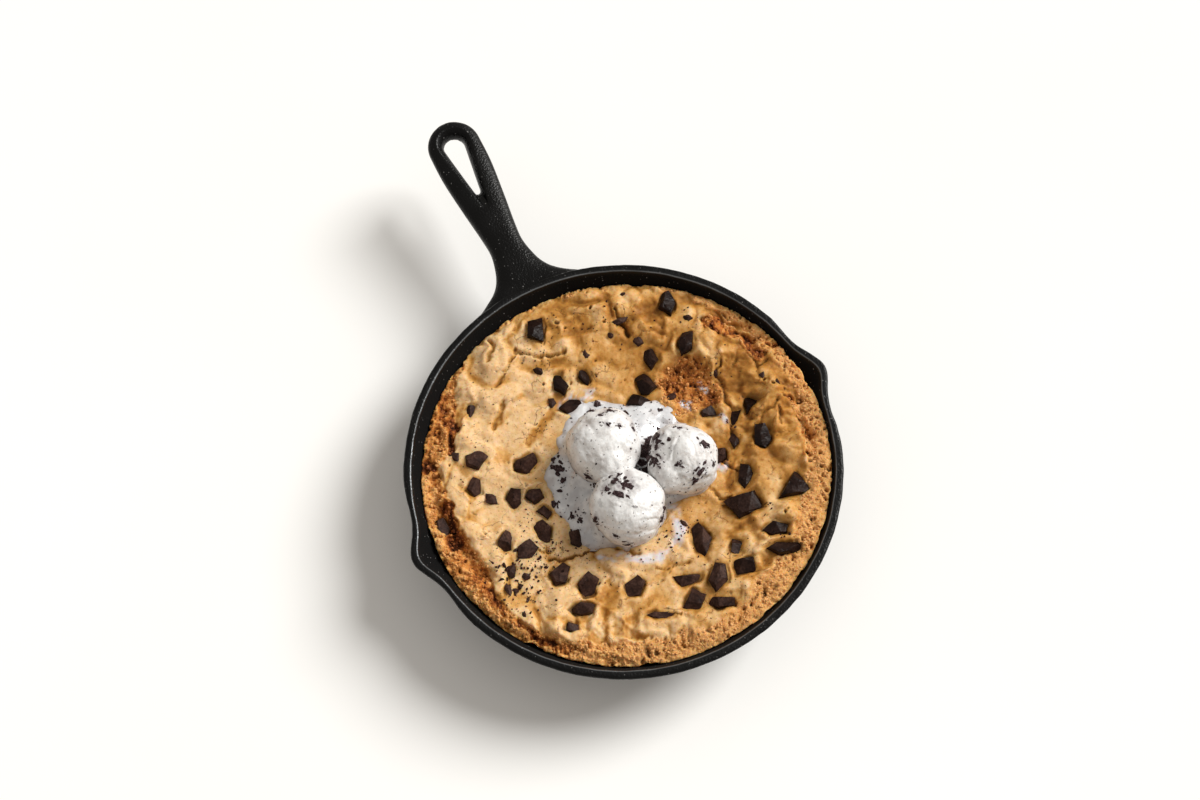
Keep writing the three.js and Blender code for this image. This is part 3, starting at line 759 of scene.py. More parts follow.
@dataclass
class Skillet:
    """A cast iron skillet of 260 mm with two pouring spouts and a handle with an eye."""

    rim_r: float = 130.0
    rim_z: float = 50.0
    rim_width: float = 5.0
    rim_round: float = 1.6
    base_r: float = 108.0
    base_round: float = 2.5
    floor_z: float = 5.0
    wall_slope: float = 0.364
    floor_fillet: float = 18.0
    collar_drop: float = 5.0
    collar_proud: float = 0.8
    spout_reach: float = 6.5
    spout_half_angle: float = 5.6
    shoulder_dip: float = 1.6
    shoulder_angle: float = 12.0
    spout_depth: float = 22.0
    tip_centre_y: float = 239.0
    tip_r: float = 17.0
    root_top_z: float = 49.4
    tip_top_z: float = 58.0
    root_thick: float = 15.0
    tip_thick: float = 11.0
    rise_power: float = 1.3
    squareness: float = 0.7
    half_widths: tuple[Pair, ...] = (
        (112, 52), (121, 44), (130, 30.3), (136, 21.8), (142, 16.8), (150, 13.5),
        (162, 11.1), (175, 11.9), (196, 14.4), (220, 16.8), (239, 17))
    eye_y: float = 240.0
    eye_r: float = 6.3
    eye_tail_y: float = 206.6
    eye_tail_r: float = 2.0
    recess_r: float = 11.4
    recess_tail_y: float = 190.0
    recess_depth: float = 4.5
    columns: int = 420
    unevenness: float = 0.14  # of the casting
    finish: SeasonedIron = SeasonedIron()

    def wall_radius(self, z: Numbers) -> Numbers:
        """Radius of the inner wall at a height, away from the spouts."""
        return self.rim_r - self.rim_width - (self.rim_z - z) * self.wall_slope

    def spout_bulge(self, degrees: Numbers, z: Numbers, dip: float) -> Numbers:
        """How far the spouts push the wall out, less what their shoulders pull it in.

        Args:
            degrees: compass angle from +X.
            z: height.
            dip: how far the shoulders pull the wall in.

        Returns:
            The bulge: reach x bell(off) less dip x bell(off - shoulder), fading downwards.
        """
        off = np.abs((degrees + 90.0) % 180.0 - 90.0)
        bulge = self.spout_reach * bell(off, self.spout_half_angle)
        shoulder = dip * bell(off - self.shoulder_angle, self.spout_half_angle)
        return (bulge - shoulder) * smooth(z, self.rim_z - self.spout_depth, self.rim_z)

    def swept(self, name: str, profile: list[Pair], dip: float) -> Object:
        """A closed solid swept round Z.

        Args:
            name: the object's name.
            profile: radius and height, from the axis at the bottom to the axis at the top.
            dip: how far the spouts' shoulders pull the wall in.

        Returns:
            An object in the scene.
        """
        radius, z = np.array(profile).T[:, :, None]
        degrees = np.linspace(0.0, 360.0, self.columns, endpoint=False)[None, :]
        reach = np.where(radius > 0, radius + self.spout_bulge(degrees, z, dip), 0.0)
        points = np.stack([*polar(reach, np.radians(degrees)), z + 0 * degrees], axis=-1)
        mesh = make_mesh(name, points, [quads(len(profile), self.columns)])
        close_poles(mesh)
        return show(name, mesh)

    @staticmethod
    def corner(centre_r: float, centre_z: float, radius: float, start: float, end: float,
               steps: int) -> list[Pair]:
        """Points of an arc between two directions in degrees."""
        across, up = polar(radius, np.radians(np.linspace(start, end, steps + 1)))
        return list(zip(centre_r + across, centre_z + up))

    @staticmethod
    def straight(first: Pair, last: Pair,
                 steps: int) -> list[Pair]:
        """Points between two points, without either."""
        share = np.arange(1, steps)[:, None] / steps
        return [tuple(p) for p in np.array(first) * (1 - share) + np.array(last) * share]

    def floor_round(self, inset: float, steps: int) -> list[Pair]:
        """The round between floor and wall, moved `inset` into the hollow."""
        angle = math.atan(self.wall_slope)
        top = self.floor_z + self.floor_fillet * (1 - math.sin(angle))
        centre = float(self.wall_radius(top)) - self.floor_fillet * math.cos(angle)
        return self.corner(centre, self.floor_z + self.floor_fillet, self.floor_fillet - inset,
                           -90.0, -math.degrees(angle), steps)

    def body(self) -> Object:
        """The bowl's outer form, without its hollow."""
        collar_z = self.rim_z - self.collar_drop
        under = self.rim_r - self.collar_proud - self.collar_drop * self.wall_slope
        foot = self.corner(self.base_r - self.base_round, self.base_round, self.base_round,
                           -90.0, -20.0, 6)
        lip = self.corner(self.rim_r - self.rim_round, self.rim_z - self.rim_round,
                          self.rim_round, 0.0, 90.0, 7)
        collar = [(under, collar_z), (self.rim_r - self.collar_proud / 2, collar_z + 1.5)]
        profile = [(0.0, 0.0), *self.straight((0.0, 0.0), foot[0], 8), *foot]
        profile += [*self.straight(foot[-1], collar[0], 26), *collar]
        profile += [*self.straight(collar[1], lip[0], 3), *lip]
        profile += [*self.straight(lip[-1], (0.0, self.rim_z), 10), (0.0, self.rim_z)]
        return self.swept("bowl_body", profile, self.shoulder_dip)

    def hollow(self) -> Object:
        """The bowl's hollow, carried on above the rim, with a rounded upper edge."""
        lip = self.rim_round * 0.8
        above = self.rim_z + 10.0
        wall = float(self.wall_radius(self.rim_z))
        edge = self.corner(wall + lip, self.rim_z - lip, lip, 180.0, 90.0, 5)
        edge = [(radius, z + 0.02) for radius, z in edge]
        fillet = self.floor_round(0.0, 12)
        profile = [(0.0, self.floor_z), *self.straight((0.0, self.floor_z), fillet[0], 8)]
        profile += [*fillet, *self.straight(fillet[-1], edge[0], 22), *edge]
        profile += [(wall + lip, above), (0.0, above)]
        return self.swept("bowl_hollow", profile, 0.0)

    def along(self, y: Numbers) -> Numbers:
        """How far along the handle a point lies, from 0 at the rim to 1 at the tip."""
        return np.clip((y - self.rim_r) / (self.tip_centre_y + self.tip_r - self.rim_r), 0.0, 1.0)

    def handle_top(self, y: Numbers) -> Numbers:
        """Height of the handle's upper face."""
        share = self.along(y) ** self.rise_power
        return self.root_top_z + (self.tip_top_z - self.root_top_z) * share

    def handle_outline(self, steps: int) -> Numbers:
        """Distances along the handle and its half widths there.

        A curve of cubic stretches runs through the named stations, each stretch shaped by
        its two ends and their neighbours, and a half round ends it.

        Args:
            steps: points on each stretch.

        Returns:
            Distances and half widths.
        """
        stations = np.array(self.half_widths, float)
        padded = np.concatenate([stations[:1], stations, stations[-1:]])
        t = np.linspace(0.0, 1.0, steps, endpoint=False)[None, :, None]
        a, b, c, d = (padded[i:len(stations) - 1 + i, None, :] for i in range(4))
        curve = 0.5 * (2 * b + (c - a) * t + (2 * a - 5 * b + 4 * c - d) * t**2
                       + (3 * b - a - 3 * c + d) * t**3)
        angles = np.radians(np.linspace(0.0, 88.0, 3 * steps))
        across, ahead = polar(self.tip_r, angles)
        tip = np.stack([self.tip_centre_y + ahead, across], axis=-1)
        return np.concatenate([curve.reshape(-1, 2), tip]).T

    def handle(self) -> Object:
        """The handle's bar: squared ovals along Y, which rise to the tip."""
        y, half_width = (values[:, None] for values in self.handle_outline(10))
        rounded_end = np.where(y > self.tip_centre_y, np.sqrt(half_width / self.tip_r), 1.0)
        thick = self.root_thick + (self.tip_thick - self.root_thick) * np.sqrt(self.along(y))
        middle = self.handle_top(y) - thick / 2
        angle = around(84)[None, :]
        across, up = (np.sign(x) * np.abs(x) ** self.squareness for x in polar(1.0, angle))
        rings = np.stack([-across * half_width, y + 0 * angle,
                          middle + up * thick / 2 * rounded_end], axis=-1)
        return show("handle_bar", closed_tube("handle_bar", rings))

    def teardrop(self, radius: float, tail_y: float, tail_r: float, rise: float) -> Numbers:
        """A round eye drawn out to a narrow tail, which follows the handle's upper face.

        Args:
            radius: of the round end.
            tail_y: middle of the tail's arc.
            tail_r: radius of the tail's arc.
            rise: height over the handle's upper face.

        Returns:
            Points of two arcs and of the tangents between them.
        """
        lean = math.asin((radius - tail_r) / (self.eye_y - tail_y))
        big = np.linspace(-lean, np.pi + lean, 40)
        small = np.linspace(np.pi + lean, 2 * np.pi - lean, 12)
        head = np.stack(polar(radius, big), axis=-1) + (0.0, self.eye_y)
        tail = np.stack(polar(tail_r, small), axis=-1) + (0.0, tail_y)
        down = self.straight(head[-1], tail[0], 25)
        back = self.straight(tail[-1], head[0], 25)
        outline = np.concatenate([head, down, tail, back])
        return np.column_stack([outline, self.handle_top(outline[:, 1]) + rise])

    def eye(self) -> Object:
        """The hanging hole, its hollowed recess above and its flare below."""
        sections = [self.teardrop(self.eye_r + 2, self.eye_tail_y, self.eye_tail_r + 1,
                                  -self.tip_thick - 4),
                    self.teardrop(self.eye_r, self.eye_tail_y, self.eye_tail_r,
                                  -self.tip_thick + 2)]
        for share in np.linspace(0.0, 1.0, 7):
            widen = share ** 0.8
            sections.append(self.teardrop(
                self.eye_r + (self.recess_r - self.eye_r) * widen,
                self.eye_tail_y + (self.recess_tail_y - self.eye_tail_y) * widen,
                self.eye_tail_r, -self.recess_depth * (1 - share) + 0.5 * share))
        return show("eye", closed_tube("eye", np.stack(sections)))

    def cast(self) -> Mesh:
        """Joins body and handle, and cuts out the hollow and the eye."""
        bowl = self.body()
        tools = [(self.handle(), "UNION"), (self.hollow(), "DIFFERENCE"), (self.eye(), "DIFFERENCE")]
        for tool, operation in tools:
            step = bowl.modifiers.new(tool.name, "BOOLEAN")
            step.operation = operation
            step.solver = "MANIFOLD"
            step.object = tool
        depsgraph = bpy.context.evaluated_depsgraph_get()
        mesh = bpy.data.meshes.new_from_object(bowl.evaluated_get(depsgraph))
        for leftover in [bowl, *(tool for tool, _ in tools)]:
            bpy.data.objects.remove(leftover)
        return mesh

    @staticmethod
    def soften(mesh: Mesh, least_angle: float, hops: int, rounds: int) -> None:
        """Rounds the sharp edges that the joins and cuts left.

        In each round a point near such an edge moves half of the way to the mean of its
        neighbours, and less the more hops it is away.

        Args:
            mesh: the mesh to change.
            least_angle: degrees between two faces from which their edge counts as sharp.
            hops: how many edges away a point may be.
            rounds: how many times the points move.
        """
        work = bmesh.new()
        work.from_mesh(mesh)
        limit = math.radians(least_angle)
        sharp = {vert.index for edge in work.edges
                 if len(edge.link_faces) == 2 and edge.calc_face_angle(0.0) > limit
                 for vert in edge.verts}
        work.free()
        pairs = np.zeros(2 * len(mesh.edges), np.int32)
        mesh.edges.foreach_get("vertices", pairs)
        a, b = pairs.reshape(-1, 2).T
        near = np.zeros(len(mesh.vertices))
        near[sorted(sharp)] = 1.0
        for _ in range(hops):
            spread = near.copy()
            for here, there in ((a, b), (b, a)):
                np.maximum.at(spread, here, near[there] - 1.0 / (hops + 1))
            near = spread
        count = np.bincount(pairs, minlength=len(near))[:, None]
        points = read_points(mesh)
        for _ in range(rounds):
            total = np.zeros_like(points)
            for here, there in ((a, b), (b, a)):
                np.add.at(total, here, points[there])
            points += 0.5 * near[:, None] * (total / count - points)
        write_points(mesh, points)

    def build(self) -> None:
        """Casts the skillet, roughens it a little and marks its rubbed edge."""
        mesh = self.cast()
        self.soften(mesh, least_angle=28.0, hops=3, rounds=8)
        points = read_points(mesh)
        bumps = rough(points, 7.0, 301, 3) * self.unevenness
        x, y, z = points.T
        reach = np.hypot(x, y)
        far = np.maximum(reach, 1)
        lean = np.stack([x / far, y / far, 0.3 + 0 * z], axis=-1)
        keep_off = smooth(z, 0.5, 2.0)[:, None]
        write_points(mesh, points + bumps[:, None] * lean * keep_off)
        degrees = np.degrees(np.arctan2(y, x))
        edge = self.rim_r - self.rim_width + 0.5 + self.spout_bulge(degrees, z, 0.0)
        off = np.hypot(reach - edge, z - self.rim_z + 0.3)
        worn = bell(off, 0.36) * (0.7 + 0.3 * noise(points, 9.0, 302))
        inner = smooth(edge - reach, 0.0, 1.5) * smooth(z, self.floor_z - 1.0, self.floor_z)
        paint(mesh, rubbed=np.clip(worn, 0.0, 1.0), burnt=inner)
        mesh.set_sharp_from_angle(angle=math.radians(50.0))
        add_piece("cast_iron_skillet", mesh, self.finish, Slot.IRON, "skillet")


# ---- Chocolate chunks ----


@dataclass
class Chunks:
    """The chopped chunks of chocolate, each finished from its plain solid."""

    count: int = 46
    facets: int = 3
    facet_lift: Pair = (40.0, 74.0)  # degrees from level that a facet faces
    facet_depth: Pair = (0.5, 0.85)  # shares of the chunk's reach that may be left
    bevel: float = 0.25
    longest: tuple[float, ...] = (6.0, 3.0, 1.5)  # edges are halved above these, in turn
    chip_depth: float = 0.38
    chip_size: float = 5.0
    reach: float = 9.0  # how far from a chunk its distance is worked out
    finish: DarkChocolate = DarkChocolate()

    def names(self) -> list[str]:
        """The chunks' node names."""
        return [f"chunk_{number:02d}" for number in range(1, self.count + 1)]

    def solids(self) -> list[Numbers]:
        """Each chunk's corners in the food's axes."""
        return [to_food(read_points(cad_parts[name].data)) for name in self.names()]

    def distance(self, u: Numbers, v: Numbers) -> Numbers:
        """How far outside the nearest chunk's outline each point lies.

        Along each of 24 directions a chunk reaches to its furthest corner. A point's
        distance is the most that it lies beyond any of these, below 0 inside.

        Args:
            u: first coordinates of the points.
            v: second coordinates of the points.

        Returns:
            The distance, at most `reach`.
        """
        ways = np.stack(polar(1.0, around(24)))
        best = np.full(u.size, self.reach)
        spots = np.stack([u.ravel(), v.ravel()], axis=-1)
        for corners in self.solids():
            low, high = corners[:, :2].min(axis=0), corners[:, :2].max(axis=0)
            near = np.all((spots > low - self.reach) & (spots < high + self.reach), axis=-1)
            furthest = (corners[:, :2] @ ways).max(axis=0)
            beyond = (spots[near] @ ways - furthest).max(axis=-1)
            best[near] = np.minimum(best[near], beyond)
        return best.reshape(u.shape)

    def chop(self, work: bmesh.types.BMesh, source: np.random.Generator) -> None:
        """Breaks flat facets off one chunk's upper edges.

        Each cut is a slanting plane that takes off the last part of the chunk's reach in
        its direction, and the hole that it leaves is closed with a flat face.

        Args:
            work: the chunk.
            source: for the directions and depths.
        """
        for _ in range(self.facets):
            turn, lift = source.uniform(0.0, TURN), math.radians(source.uniform(*self.facet_lift))
            level = math.cos(lift)
            way = np.array([math.cos(turn) * level, math.sin(turn) * level, math.sin(lift)])
            spans = np.array([vert.co[:] for vert in work.verts]) @ way
            middle = (spans.max() + spans.min()) / 2
            level = middle + (spans.max() - middle) * source.uniform(*self.facet_depth)
            parts = [*work.verts, *work.edges, *work.faces]
            made = bmesh.ops.bisect_plane(work, geom=parts, plane_co=way * level, plane_no=way,
                                          clear_outer=True)["geom_cut"]
            open_edges = [part for part in made if isinstance(part, bmesh.types.BMEdge)]
            bmesh.ops.holes_fill(work, edges=open_edges)

    def build(self) -> None:
        """Chops the solids' upper edges, bevels them, and chips and waves their faces."""
        source = np.random.default_rng(405)
        whole = bmesh.new()
        for name in self.names():
            work = bmesh.new()
            work.from_mesh(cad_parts[name].data)
            bmesh.ops.remove_doubles(work, verts=work.verts, dist=1e-3 * MM)
            self.chop(work, source)
            piece = bpy.data.meshes.new(name + "_chopped")
            work.to_mesh(piece)
            work.free()
            whole.from_mesh(piece)
            bpy.data.meshes.remove(piece)
        bmesh.ops.dissolve_limit(whole, angle_limit=math.radians(3.0), verts=whole.verts,
                                 edges=whole.edges)
        bmesh.ops.bevel(whole, geom=[*whole.verts, *whole.edges], offset=self.bevel * MM,
                        segments=2, profile=0.6, affect="EDGES", clamp_overlap=True)
        bmesh.ops.triangulate(whole, faces=whole.faces)
        for longest in self.longest:
            cuts = [edge for edge in whole.edges if edge.calc_length() > longest * MM]
            bmesh.ops.subdivide_edges(whole, edges=cuts, cuts=1)
            bmesh.ops.triangulate(whole, faces=whole.faces)
        mesh = bpy.data.meshes.new("chocolate_chunks")
        whole.to_mesh(mesh)
        whole.free()
        points = read_points(mesh)
        normals = np.zeros(3 * len(points), np.float32)
        mesh.vertices.foreach_get("normal", normals)
        waves = rough(points, self.chip_size, 401, 2)
        write_points(mesh, points + normals.reshape(-1, 3) * (waves * self.chip_depth)[:, None])
        u, v, _ = to_food(points).T
        # At the top the chunks have melted; towards +u they are darkened as painted shade
        wet = np.maximum(smooth(v, 28.0, 50.0), 0.9 * smooth(u, 56.0, 76.0))
        paint(mesh, molten=wet * (0.75 + 0.25 * noise(points, 14.0, 402)))
        mesh.shade_smooth()
        mesh.set_sharp_from_angle(angle=math.radians(30.0))
        add_piece("chocolate_chunks", mesh, self.finish, Slot.CHOCOLATE, *self.names())


# ---- Cookie ----


@dataclass(frozen=True)
class Split:
    """A split in the crust along an arc, with angles in degrees from +u."""

    start: float
    end: float
    radius: float
    drift: float
    depth: float
    width: float


@dataclass
class Skin:
    """The cookie's top at each of many points."""

    height: Numbers
    tone: Numbers
    crumb: Numbers
    dark: Numbers
    milk: Numbers


@dataclass
class Cookie:
    """The baked cookie: a sunken middle, a raised ring, split and broken crust, cracks."""

    skillet: Skillet
    chunks: Chunks
    centre_z: float = 35.0
    plateau_r: float = 50.0
    crest_r: float = 106.0
    crest_z: float = 43.6
    crest_tilt: float = 2.6
    edge_z: float = 41.0
    edge_tilt: float = 4.0
    edge_oval: float = 1.8
    wall_gap: float = 0.4
    # Painted shade: how much browner the skin is made where it is steep
    slope_shade_strength: float = 0.36
    patch: tuple[float, float, float] = (40.0, 53.0, 17.0)  # the broken crust: u, v, radius
    patch_depth: float = 2.2
    fold_from: float = -109.0
    fold_to: float = -85.0
    fold_pitch: float = 4.8
    fold_depth: float = 2.2
    fold_radius: float = 99.0
    fold_reach: float = 10.0
    splits: tuple[Split, ...] = (
        Split(181, 224, 109, 5, 6, 5), Split(42, 62, 113, 0, 4, 5),
        Split(4, 26, 111, 0, 3, 4), Split(150, 176, 113, 0, 2.5, 4.5))
    grid: int = 305
    finish: BakedDough = BakedDough()

    # Where the smooth skin gives way to open crumb: degrees from +u, and radius.
    crumb_start: tuple[Pair, ...] = (
        (-180, 110), (-174, 108), (-167, 102), (-159, 103), (-153, 100), (-145, 99),
        (-139, 103), (-134, 108), (-121, 110), (-112, 111), (-105, 110), (-97, 107), (-90, 106),
        (-74, 107), (-62, 108), (-50, 108), (-42, 107), (-25, 108), (0, 109),
        (18, 110), (32, 113), (50, 115), (64, 116), (75, 118), (110, 118), (140, 119),
        (152, 116), (160, 109), (168, 105), (175, 104), (180, 108))

    # Where the crust has split open: half width, how dark, and points of u and v.
    rifts: Lines = (
        (4.6, 0.6, ((-118, 2), (-110, -14), (-103, -27), (-103, -38), (-98, -49), (-91, -57),
                    (-85, -65), (-80, -75))),
        (2.6, 0.8, ((-84, -72), (-70, -88), (-56, -99), (-42, -108), (-28, -113))),
        (5.0, 1.0, ((54, 94), (60, 90), (68, 84), (76, 79), (83, 73))),
        (2.2, 0.6, ((76, 101), (86, 93), (95, 81), (103, 70), (111, 59))),
        (2.0, 0.6, ((101, 44), (107, 38), (110, 28), (113, 18))),
        (2.4, 0.7, ((-112, 58), (-110, 46), (-107, 36), (-103, 24), (-104, 12))))

    # Cracks, then creases, then ridges of the skin: how far each stands up (or is sunk, below
    # 0), its width, how dark it is (or how much paler, below 0), and points of u and v. A
    # crease's browning is painted shade, and a ridge's paleness a painted highlight.
    strokes: Lines = (
        (-1.8, 0.8, 0.75, ((-66, 73), (-71, 64), (-77, 52))),
        (-2.2, 1.5, 0.55, ((-72, 42), (-75, 34), (-77, 24))),
        (-1.8, 1.2, 0.45, ((-82, 83), (-80, 74), (-82, 66))),
        (-1.5, 0.7, 0.65, ((-67, 75), (-52, 71), (-35, 75))),
        (-2.6, 1.3, 1.00, ((-5, 102), (-1, 94), (4, 86))),
        (-2.0, 0.9, 0.80, ((59, 67), (57, 57), (62, 46), (66, 34), (66, 20))),
        (-1.5, 0.6, 0.80, ((60, 5), (67, -1), (72, -2))),
        (-1.2, 0.6, 0.60, ((66, 63), (69, 68))),
        (-2.0, 1.2, 0.75, ((79, 68), (82, 61), (88, 66))),
        (-1.6, 0.9, 0.60, ((94, 36), (95, 26))),
        (-1.0, 0.5, 0.80, ((-85, -45), (-80, -38))),
        (-1.0, 0.5, 0.80, ((-84, -38), (-80, -43))),
        (-1.2, 0.7, 0.70, ((-51, -50), (-46, -53), (-40, -50))),
        (-2.2, 1.2, 0.85, ((-43, -56), (-31, -55), (-19, -51), (-9, -48), (9, -52))),
        (-1.8, 0.8, 0.80, ((52, -14), (58, -19), (65, -19))),
        (-1.2, 0.7, 0.60, ((18, -62), (28, -62), (38, -58))),
        (-1.0, 0.7, 0.90, ((22, -92), (34, -92))),
        (-1.8, 1.2, 0.45, ((93, 40), (86, 34), (81, 22))),
        (-1.6, 2.6, 0.22, ((-48, 93), (-40, 86), (-32, 88), (-22, 90))),
        (-1.8, 2.4, 0.25, ((-38, 47), (-43, 36), (-51, 26), (-57, 17))),
        (-1.8, 2.0, 0.45, ((106, 28), (110, 20), (112, 8), (115, -5))),
        (-1.6, 2.2, 0.25, ((61, -43), (68, -38), (75, -35))),
        (-1.6, 2.2, 0.25, ((-50, -88), (-39, -93), (-30, -96), (-22, -94))),
        (-1.5, 2.0, 0.22, ((70, 50), (76, 40), (74, 28))),
        (-1.4, 2.2, 0.20, ((18, 104), (24, 94), (22, 84))),
        (-1.4, 2.0, 0.20, ((-96, -12), (-88, -20), (-90, -32))),
        (1.7, 2.6, -0.10, ((92, 24), (94, 33), (104, 36), (106, 27), (107, 15), (108, 0))),
        (1.5, 2.2, -0.08, ((100, 52), (103, 45), (101, 38))),
        (1.4, 2.4, -0.06, ((61, 72), (70, 71), (80, 74), (87, 78))),
        (1.3, 2.0, -0.05, ((76, 58), (86, 50), (94, 54))),
        (1.4, 2.8, -0.12, ((-45, 101), (-37, 95), (-28, 98))),
        (1.6, 2.6, -0.14, ((-76, 83), (-72, 73), (-74, 64))),
        (1.2, 1.8, -0.14, ((-101, 49), (-92, 51), (-90, 42), (-96, 31), (-99, 17))),
        (1.4, 2.6, -0.10, ((-31, -60), (-21, -60), (-12, -58), (-3, -62), (2, -71))),
        (1.8, 2.6, -0.12, ((78, -33), (83, -47), (75, -60), (84, -68))),
        (1.4, 2.4, -0.12, ((60, -77), (73, -74), (84, -65))),
        (1.4, 2.2, -0.10, ((26, -32), (33, -22), (42, -17), (52, -15))),
        (1.3, 2.2, -0.10, ((-12, -84), (-2, -94), (7, -101), (20, -103))),
        (1.3, 2.4, -0.08, ((106, -24), (104, -33), (107, -43))),
        (1.3, 2.6, -0.10, ((-70, -95), (-58, -86), (-44, -90))),
        (1.2, 2.6, -0.10, ((10, 108), (8, 98), (14, 90))),
        (1.2, 2.4, -0.08, ((-64, 47), (-56, 52), (-46, 52))),
    )

    # Colour of the skin: u, v, radius and how much browner (or paler, below 0).
    patches: Rows = (
        (-31, 98, 14, 0.08), (12, 72, 22, 0.14), (-14, 76, 9, 0.22), (-20, 62, 14, 0.08),
        (-80, -28, 26, -0.14), (-66, 38, 26, -0.12), (-90, 8, 20, -0.04), (-50, 20, 20, -0.06),
        (-40, -88, 18, -0.06), (88, 8, 26, 0.16), (88, 46, 22, 0.16), (60, 84, 22, 0.04),
        (12, -82, 16, 0.12), (-64, -66, 10, 0.10), (50, -62, 22, -0.02), (84, -66, 22, -0.06),
        (45, 100, 14, -0.08), (4, -100, 20, 0.13), (36, -98, 20, 0.13))

    # Where the skin lies smooth: u, v and radius.
    calm: Rows = (
        (-62, 30, 22), (-40, 8, 20), (28, -84, 20), (-72, -28, 18), (-2, 74, 14),
        (52, -84, 12), (90, -2, 12))

    # Thin films of melted cream that have run over the skin: half width, and points.
    films: Lines = (
        (4.5, ((28, -25), (32, -33), (33, -41), (29, -49), (22, -54))),
        (4.0, ((30, -53), (18, -55), (6, -56), (-4, -56))), (2.5, ((-14, -54), (-8, -56))),
        (5.0, ((-20, 49), (-28, 47), (-35, 42))), (3.0, ((56, 33), (60, 30))),
        (3.0, ((36, 43), (40, 41))), (2.2, ((47, 54), (50, 51))), (4.0, ((56, 6), (60, 2))))

    # Deep round holes in the crust: u, v and radius.
    holes: Rows = (
        (81, -80, 2.2), (73, -86, 1.6), (14, -114, 2.6), (20, -114, 1.6), (122, -5, 1.5),
        (111, -34, 1.4), (105, 40, 2.2), (109, 5, 1.5), (111, 0, 1.2), (-20, 104, 1.2),
        (-41, 94, 1.6), (-12, 94, 0.9), (-16, 71, 1.0), (-17, 61, 0.8), (-31, 56, 0.8),
        (-71, 30, 0.9), (1, 58, 0.7), (-50, 55, 0.8), (-36, 91, 0.8), (-104, 2, 0.8),
        (94, -31, 0.9), (105, -26, 0.8), (84, -25, 0.9), (81, -24, 0.8), (84, 53, 1.2),
        (90, 50, 1.0), (97, 47, 1.0), (96, -30, 0.6))

    def edge_height(self, angle: Numbers) -> Numbers:
        """Height of the crust where it meets the wall: higher towards +u."""
        return self.edge_z + self.edge_tilt * np.cos(angle) + self.edge_oval * np.cos(2 * angle)

    def edge_radius(self, angle: Numbers) -> Numbers:
        """Radius at which the top ends, just inside the wall."""
        return self.skillet.wall_radius(self.edge_height(angle)) - self.wall_gap

    def split_depth(self, radius: Numbers, degrees: Numbers) -> Numbers:
        """Depth of the splits: depth x root of (1 - share squared) x bell across."""
        depth = np.zeros_like(radius)
        for split in self.splits:
            half = (split.end - split.start) / 2
            off = (degrees - (split.start + split.end) / 2 + 180.0) % 360.0 - 180.0
            along = np.clip(1.0 - (off / half) ** 2, 0.0, 1.0)
            centre = split.radius - split.drift * off / half
            depth += split.depth * np.sqrt(along) * bell(radius - centre, split.width)
        return depth

    def folds(self, radius: Numbers, degrees: Numbers) -> Numbers:
        """Pleats that run in from the front edge, 1 in the middle of a crease."""
        off = (degrees - self.fold_from + 180.0) % 360.0 - 180.0
        span = self.fold_to - self.fold_from
        inside = smooth(off, -3.0, 0.0) * fade(off, span, span + 3.0)
        across = bell(radius - self.fold_radius, self.fold_reach)
        return inside * across * np.sin(np.pi * off / self.fold_pitch) ** 2

    def form(self, u: Numbers, v: Numbers) -> Numbers:
        """Height of the plain form, as in the solid: bowl, ring, waves, patch and splits.

        Args:
            u: first coordinates of the points.
            v: second coordinates of the points.

        Returns:
            The height.
        """
        radius = np.hypot(u, v)
        angle = np.arctan2(v, u)
        crest = self.crest_z + self.crest_tilt * np.cos(angle)
        rise = smooth(radius, self.plateau_r, self.crest_r)
        reach = self.edge_radius(angle) - self.crest_r
        fall = np.clip((radius - self.crest_r) / reach, 0.0, 1.0)
        waves = np.sin(0.11 * u + 0.05 * v + 1.3) * np.sin(0.09 * v - 0.04 * u + 0.4)
        waves += 0.6 * np.sin(0.21 * u - 0.13 * v + 2.1) * np.sin(0.17 * v + 0.19 * u)
        waves *= (0.45 + 1.05 * rise) * (1.0 - fall)
        bowl = self.centre_z + (crest - self.centre_z) * rise
        bowl += (self.edge_height(angle) - crest) * fall**2
        patch = self.patch_depth * dome(u, v, *self.patch)
        degrees = np.degrees(angle)
        folds = self.fold_depth * self.folds(radius, degrees)
        return bowl + waves - patch - self.split_depth(radius, degrees) - folds

    def rift(self, u: Numbers, v: Numbers) -> Numbers:
        """How dark the crust's open splits are.

        Args:
            u: first coordinates of the points.
            v: second coordinates of the points.

        Returns:
            1 in the middle of the darkest, and 0 away from them.
        """
        spot = flat(u, v)
        u = u + 3.0 * rough(spot, 8.0, 15, 2)
        v = v + 3.0 * rough(spot, 8.0, 16, 2)
        deepest = np.zeros_like(u)
        for width, darkness, points in self.rifts:
            off = line_distance(u, v, points) / width
            deepest = np.maximum(deepest, darkness * fade(off, 0.5, 1.3))
        return deepest

    def torn(self, u: Numbers, v: Numbers) -> Numbers:
        """Where open crumb shows.

        Args:
            u: first coordinates of the points.
            v: second coordinates of the points.

        Returns:
            1 in the outer ring, the broken patch and the splits, and 0 on whole skin.
        """
        radius = np.hypot(u, v)
        degrees = np.degrees(np.arctan2(v, u))
        ragged = 2.6 * rough(flat(u, v), 7.0, 11, 3)
        start = np.interp(degrees, *np.array(self.crumb_start).T)
        ring = smooth(radius + ragged - start, -1.2, 1.6)
        patch_u, patch_v, patch_r = self.patch
        off = np.hypot((u - patch_u) / 1.05, (v - patch_v) / 0.95) / patch_r
        patch = fade(off + 0.10 * ragged, 0.95, 1.2)
        return np.maximum.reduce([ring, patch, smooth(self.rift(u, v), 0.1, 0.35)])

    @staticmethod
    def puffs(spot: Numbers, size: float, seed: int) -> Numbers:
        """Swellings with sharp creases between them: the noise's absolute value, centred.

        The grid is turned by as many radians as the seed, so that two sizes don't line up.
        """
        return np.abs(noise(to_part(spot, seed), size, seed)) - 0.27

